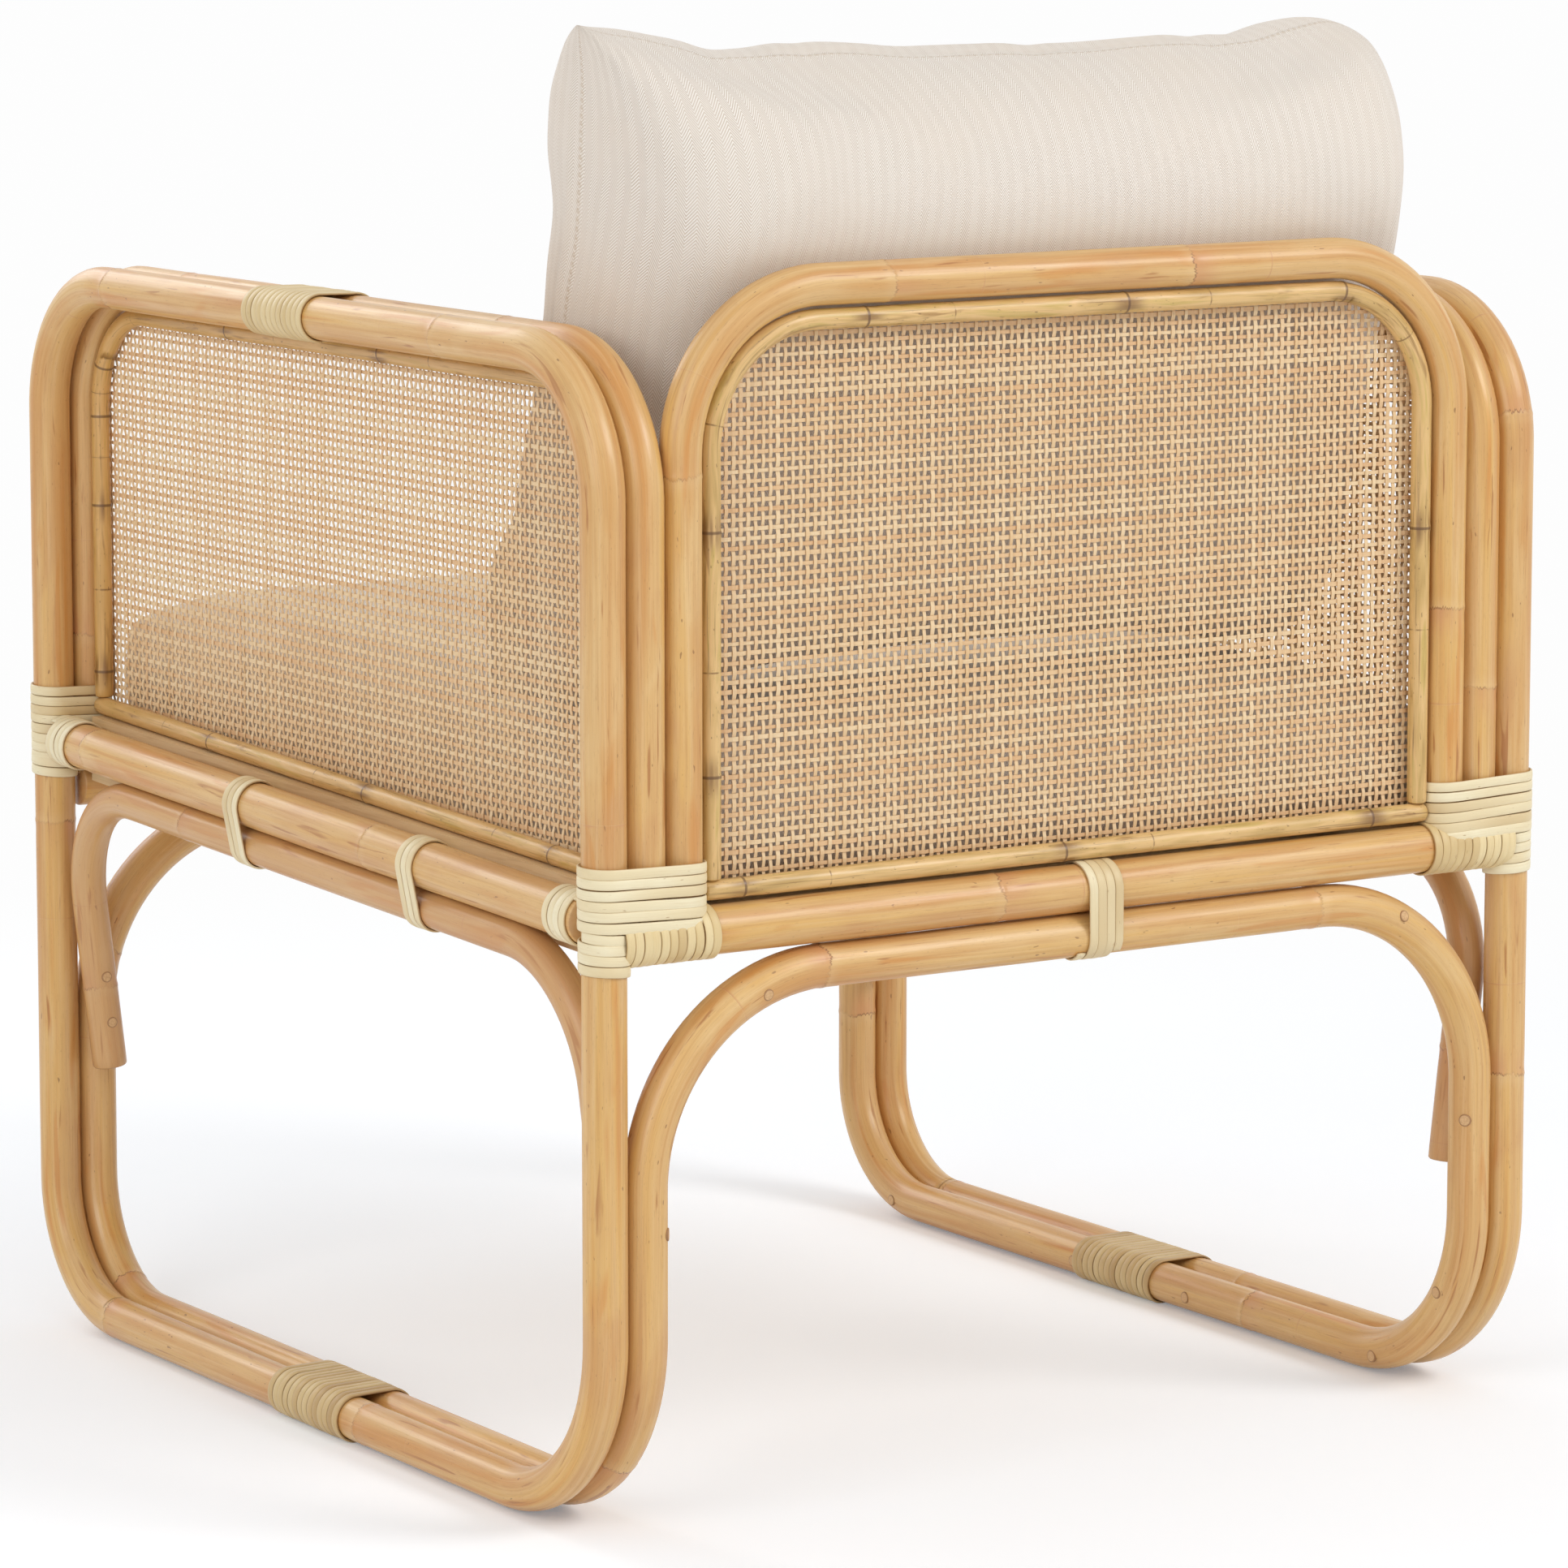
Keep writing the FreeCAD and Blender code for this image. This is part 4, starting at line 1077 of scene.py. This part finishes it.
def build_cushions():
    """The boxed seat cushion and the knife-edged back cushion that leans on the frame."""
    seat_top = ((0, 0), (0.6, 0.26), (2.5, 0.56), (8, 0.74), (24, 0.85), (60, 0.93), (130, 1.0), (400, 1.0))
    seat_base = ((0, 0), (0.6, 0.35), (3.0, 0.74), (14, 1.0), (30, 1.0), (60, 1.0), (130, 1.0), (400, 1.0))
    seat_wide = 559.0
    seat_long = 656.0
    seam_rise = 46.0
    seat_bottom = -7.7
    seat_ahead = -11.0
    grid = cushion_grid(seat_wide, seat_long, (60.0, 45.5), (seat_top, seat_base), (4.0, 4.0, 4.0), 20.0, 3)
    base = np.array((0, 0, rail_z(0))) + SEAT_UP * (seat_bottom + seam_rise) + SEAT_LINE * seat_ahead
    place = matrix_of(X, SEAT_LINE, SEAT_UP, base)

    def seat_clear(world, points):
        """Held above the slats, flattened on top, and inside the frame."""
        lowest = -7.4
        highest = 100.6
        height = (world - np.array((0, 0, rail_z(0)))) @ SEAT_UP
        world = world + np.maximum(lowest - height, 0)[:, None] * SEAT_UP
        world = world - (np.maximum(height - highest, 0) * 0.75)[:, None] * SEAT_UP
        world[:, 0] = np.clip(world[:, 0], -281.5, 281.5)
        world[:, 1] = np.clip(world[:, 1], -343.0, 322.0)
        return world

    filling = {"most": 16, "pressure": 3.5, "growth": 0.0, "shrink": 0.012}
    cushion("seat_cushion", grid, place, (6, -6), seat_clear, filling, 1)

    back = [(inset, (1 - (1 - inset / 130) ** 2.5) ** 0.46) for inset in np.linspace(0, 1, 60) ** 2 * 130]
    back.append((400, 1.0))
    half_wide = 283.5
    half_high = 206.5
    top_draw = 13.6
    rear_depth = 94.0
    grid = cushion_grid(2 * half_wide, 2 * half_high, (60.0, rear_depth), (back, back), (4.0, top_draw, 18.1))
    lean = math.radians(14.6)
    lift = np.array((0, math.sin(lean), math.cos(lean)))
    rearward = np.array((0, math.cos(lean), -math.sin(lean)))
    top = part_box("back_cushion")[1][2] / MM
    foot = np.array((0, LEG_Y, BACK_TOP_Z)) - rearward * (rear_depth + JOINT_GAP + BACK_FRAME / 2)
    highest = (grid[0] @ np.array((0, lift[2], -rearward[2]))).max()
    middle = foot + lift * ((top - highest - foot[2]) / lift[2])
    place = matrix_of(-X, lift, -rearward, middle)
    axes = place[:3, :3].T

    def back_clear(world):
        """Held in front of the back frame and between the arms."""
        eased_from = 86
        eased_over = 7
        arm_top = 694
        beside_arm = 283.6
        local = (world - middle) @ axes.T
        depth = -local[:, 2]
        far = depth > eased_from
        depth[far] = eased_from + eased_over * (1 - np.exp(-(depth[far] - eased_from) / eased_over))
        local[:, 2] = -depth
        world = middle + local @ axes
        below = world[:, 2] < arm_top
        world[below, 0] = np.clip(world[below, 0], -beside_arm, beside_arm)
        return world

    def plump(world, points):
        """Round sides beside the seam, one raised corner, creases below the top edge, and fine puckers."""
        local = (world - middle) @ axes.T
        u = points[:, 0] / half_wide
        v = points[:, 1] / half_high
        inset = half_wide - np.abs(points[:, 0])
        drop = half_high - points[:, 1]
        swell = np.exp(-((inset - 22) / 30) ** 2) * (1 - np.abs(v - 0.1) ** 4)
        swell *= 1 + 0.3 * np.exp(-((v - 0.28) / 0.3) ** 2)
        local[:, 0] += np.sign(u) * 8.0 * swell
        local[:, 2] += np.where(points[:, 2] > 0, 6.0, -1.0) * swell
        wanted = np.where(u < 0, 12 * (1 - np.abs(u) ** 5), 12 + 9 * np.abs(u) ** 5)
        upper = np.clip((v - 0.1) / 0.9, 0, 1) ** 2
        local[:, 1] -= upper * (wanted - top_draw * (1 - u**2))
        local[:, 0] -= 11 * np.clip(u, 0, 1) ** 14 * np.clip((v - 0.5) / 0.5, 0, 1) ** 2
        creases = ((-205, -0.9, 2.6, 40), (-130, 0.3, 1.4, 30), (20, -0.4, 1.4, 34), (160, 0.8, 1.8, 40))
        for spot, slant, deep, long in creases:
            beside = points[:, 0] - spot + slant * drop
            fold = deep * np.exp(-(beside / 10) ** 2) * np.exp(-(drop / long) ** 2)
            local[:, 1] -= fold
            local[:, 2] -= np.sign(points[:, 2]) * fold * 0.8
        along = np.where(inset < drop, points[:, 1], points[:, 0])
        near = np.minimum(inset, np.minimum(drop, points[:, 1] + half_high))
        pucker = 0.9 * smooth_noise(along, 77, 17) * np.exp(-((near - 12) / 12) ** 2)
        local[:, 2] += np.sign(points[:, 2]) * pucker
        return back_clear(middle + local @ axes)

    filling = {"most": 24, "pressure": 4.5, "growth": -0.004, "shrink": 0.014}
    cushion("back_cushion", grid, place, (0,), plump, filling, 14)


def aim(made, place, forward):
    """Puts a lamp or camera at a place, level and facing forward."""
    right = unit(np.cross(forward, Z))
    made.matrix_world = Matrix(matrix_of(right, np.cross(right, forward), -forward, place).tolist())


def plain_stage():
    """A pale floor, a white surround and soft lamps."""
    reach = 60.0
    corners = [(-reach, -reach, 0), (reach, -reach, 0), (reach, reach, 0), (-reach, reach, 0)]
    data = bpy.data.meshes.new("floor")
    data.from_pydata(corners, [], [(0, 1, 2, 3)])
    s = Shader("floor", "object")
    s.colour = srgb(243, 244, 246)
    s.tint(s.noise((3, 3, 3)), (247, 248, 250))
    s.finish(0.9)
    s.surface.inputs["Specular IOR Level"].default_value = 0.1
    glow = s.node("ShaderNodeEmission", ((0.9, 1.0, 1.12, 1), 0.18))
    near = s.node("ShaderNodeAddShader", (s.surface, glow))
    plain = s.node("ShaderNodeEmission", ((1, 1, 1, 1), 0.985))
    length = s.node("ShaderNodeVectorMath", (s.place,), operation="LENGTH").outputs["Value"]
    seen = s.node("ShaderNodeMixShader", (s.span(length, 0.45, 1.9), near, plain))
    s.put(s.output.inputs[0], s.node("ShaderNodeMixShader", (s.directly_seen(), s.surface, seen)))
    data.materials.append(s.material)
    linked("floor", data)

    world = bpy.data.worlds.new("surround")
    bpy.context.scene.world = world
    w = Nodes(world, "ShaderNodeOutputWorld")
    lit = w.node("ShaderNodeBackground", ((1, 0.995, 0.985, 1), 0.62))
    shown = w.node("ShaderNodeBackground", ((1, 1, 1, 1), 1.0))
    w.put(w.output.inputs[0], w.node("ShaderNodeMixShader", (w.directly_seen(), lit, shown)))

    # Name, place, target, size and power
    lamps = (
        ("key_lamp", (-1.9, 3.0, 2.9), (0, 0.1, 0.4), 1.8, 62),
        ("fill_lamp", (3.4, 1.6, 1.9), (0, 0, 0.4), 2.2, 34),
        ("front_lamp", (0.6, -3.4, 2.4), (0, 0, 0.4), 2.2, 34),
    )
    for name, place, target, size, power in lamps:
        light = bpy.data.lights.new(name, "AREA")
        light.shape = "DISK"
        light.size = size
        light.energy = power
        aim(linked(name, light), place, unit(np.array(target, float) - np.array(place, float)))


def make_camera():
    """The photograph's view, with its framing in a small shift."""
    data = bpy.data.cameras.new("camera")
    data.sensor_width = 36.0
    data.lens = 150.677
    data.shift_y = -0.08
    data.clip_start = 0.05
    data.clip_end = 300
    azimuth = math.radians(180 - 33.087)
    pitch = math.radians(7.773)
    level = math.cos(pitch)
    back = np.array((math.sin(azimuth) * level, -math.cos(azimuth) * level, math.sin(pitch)))
    made = linked("camera", data)
    aim(made, (2.2050, 3.4090, 0.9991), -back)
    bpy.context.scene.camera = made


build_poles()
build_beads()
build_bindings()
build_cane()
dress_deck()
build_plugs()
build_cushions()
plain_stage()
make_camera()
bpy.context.scene.view_settings.view_transform = "Standard"
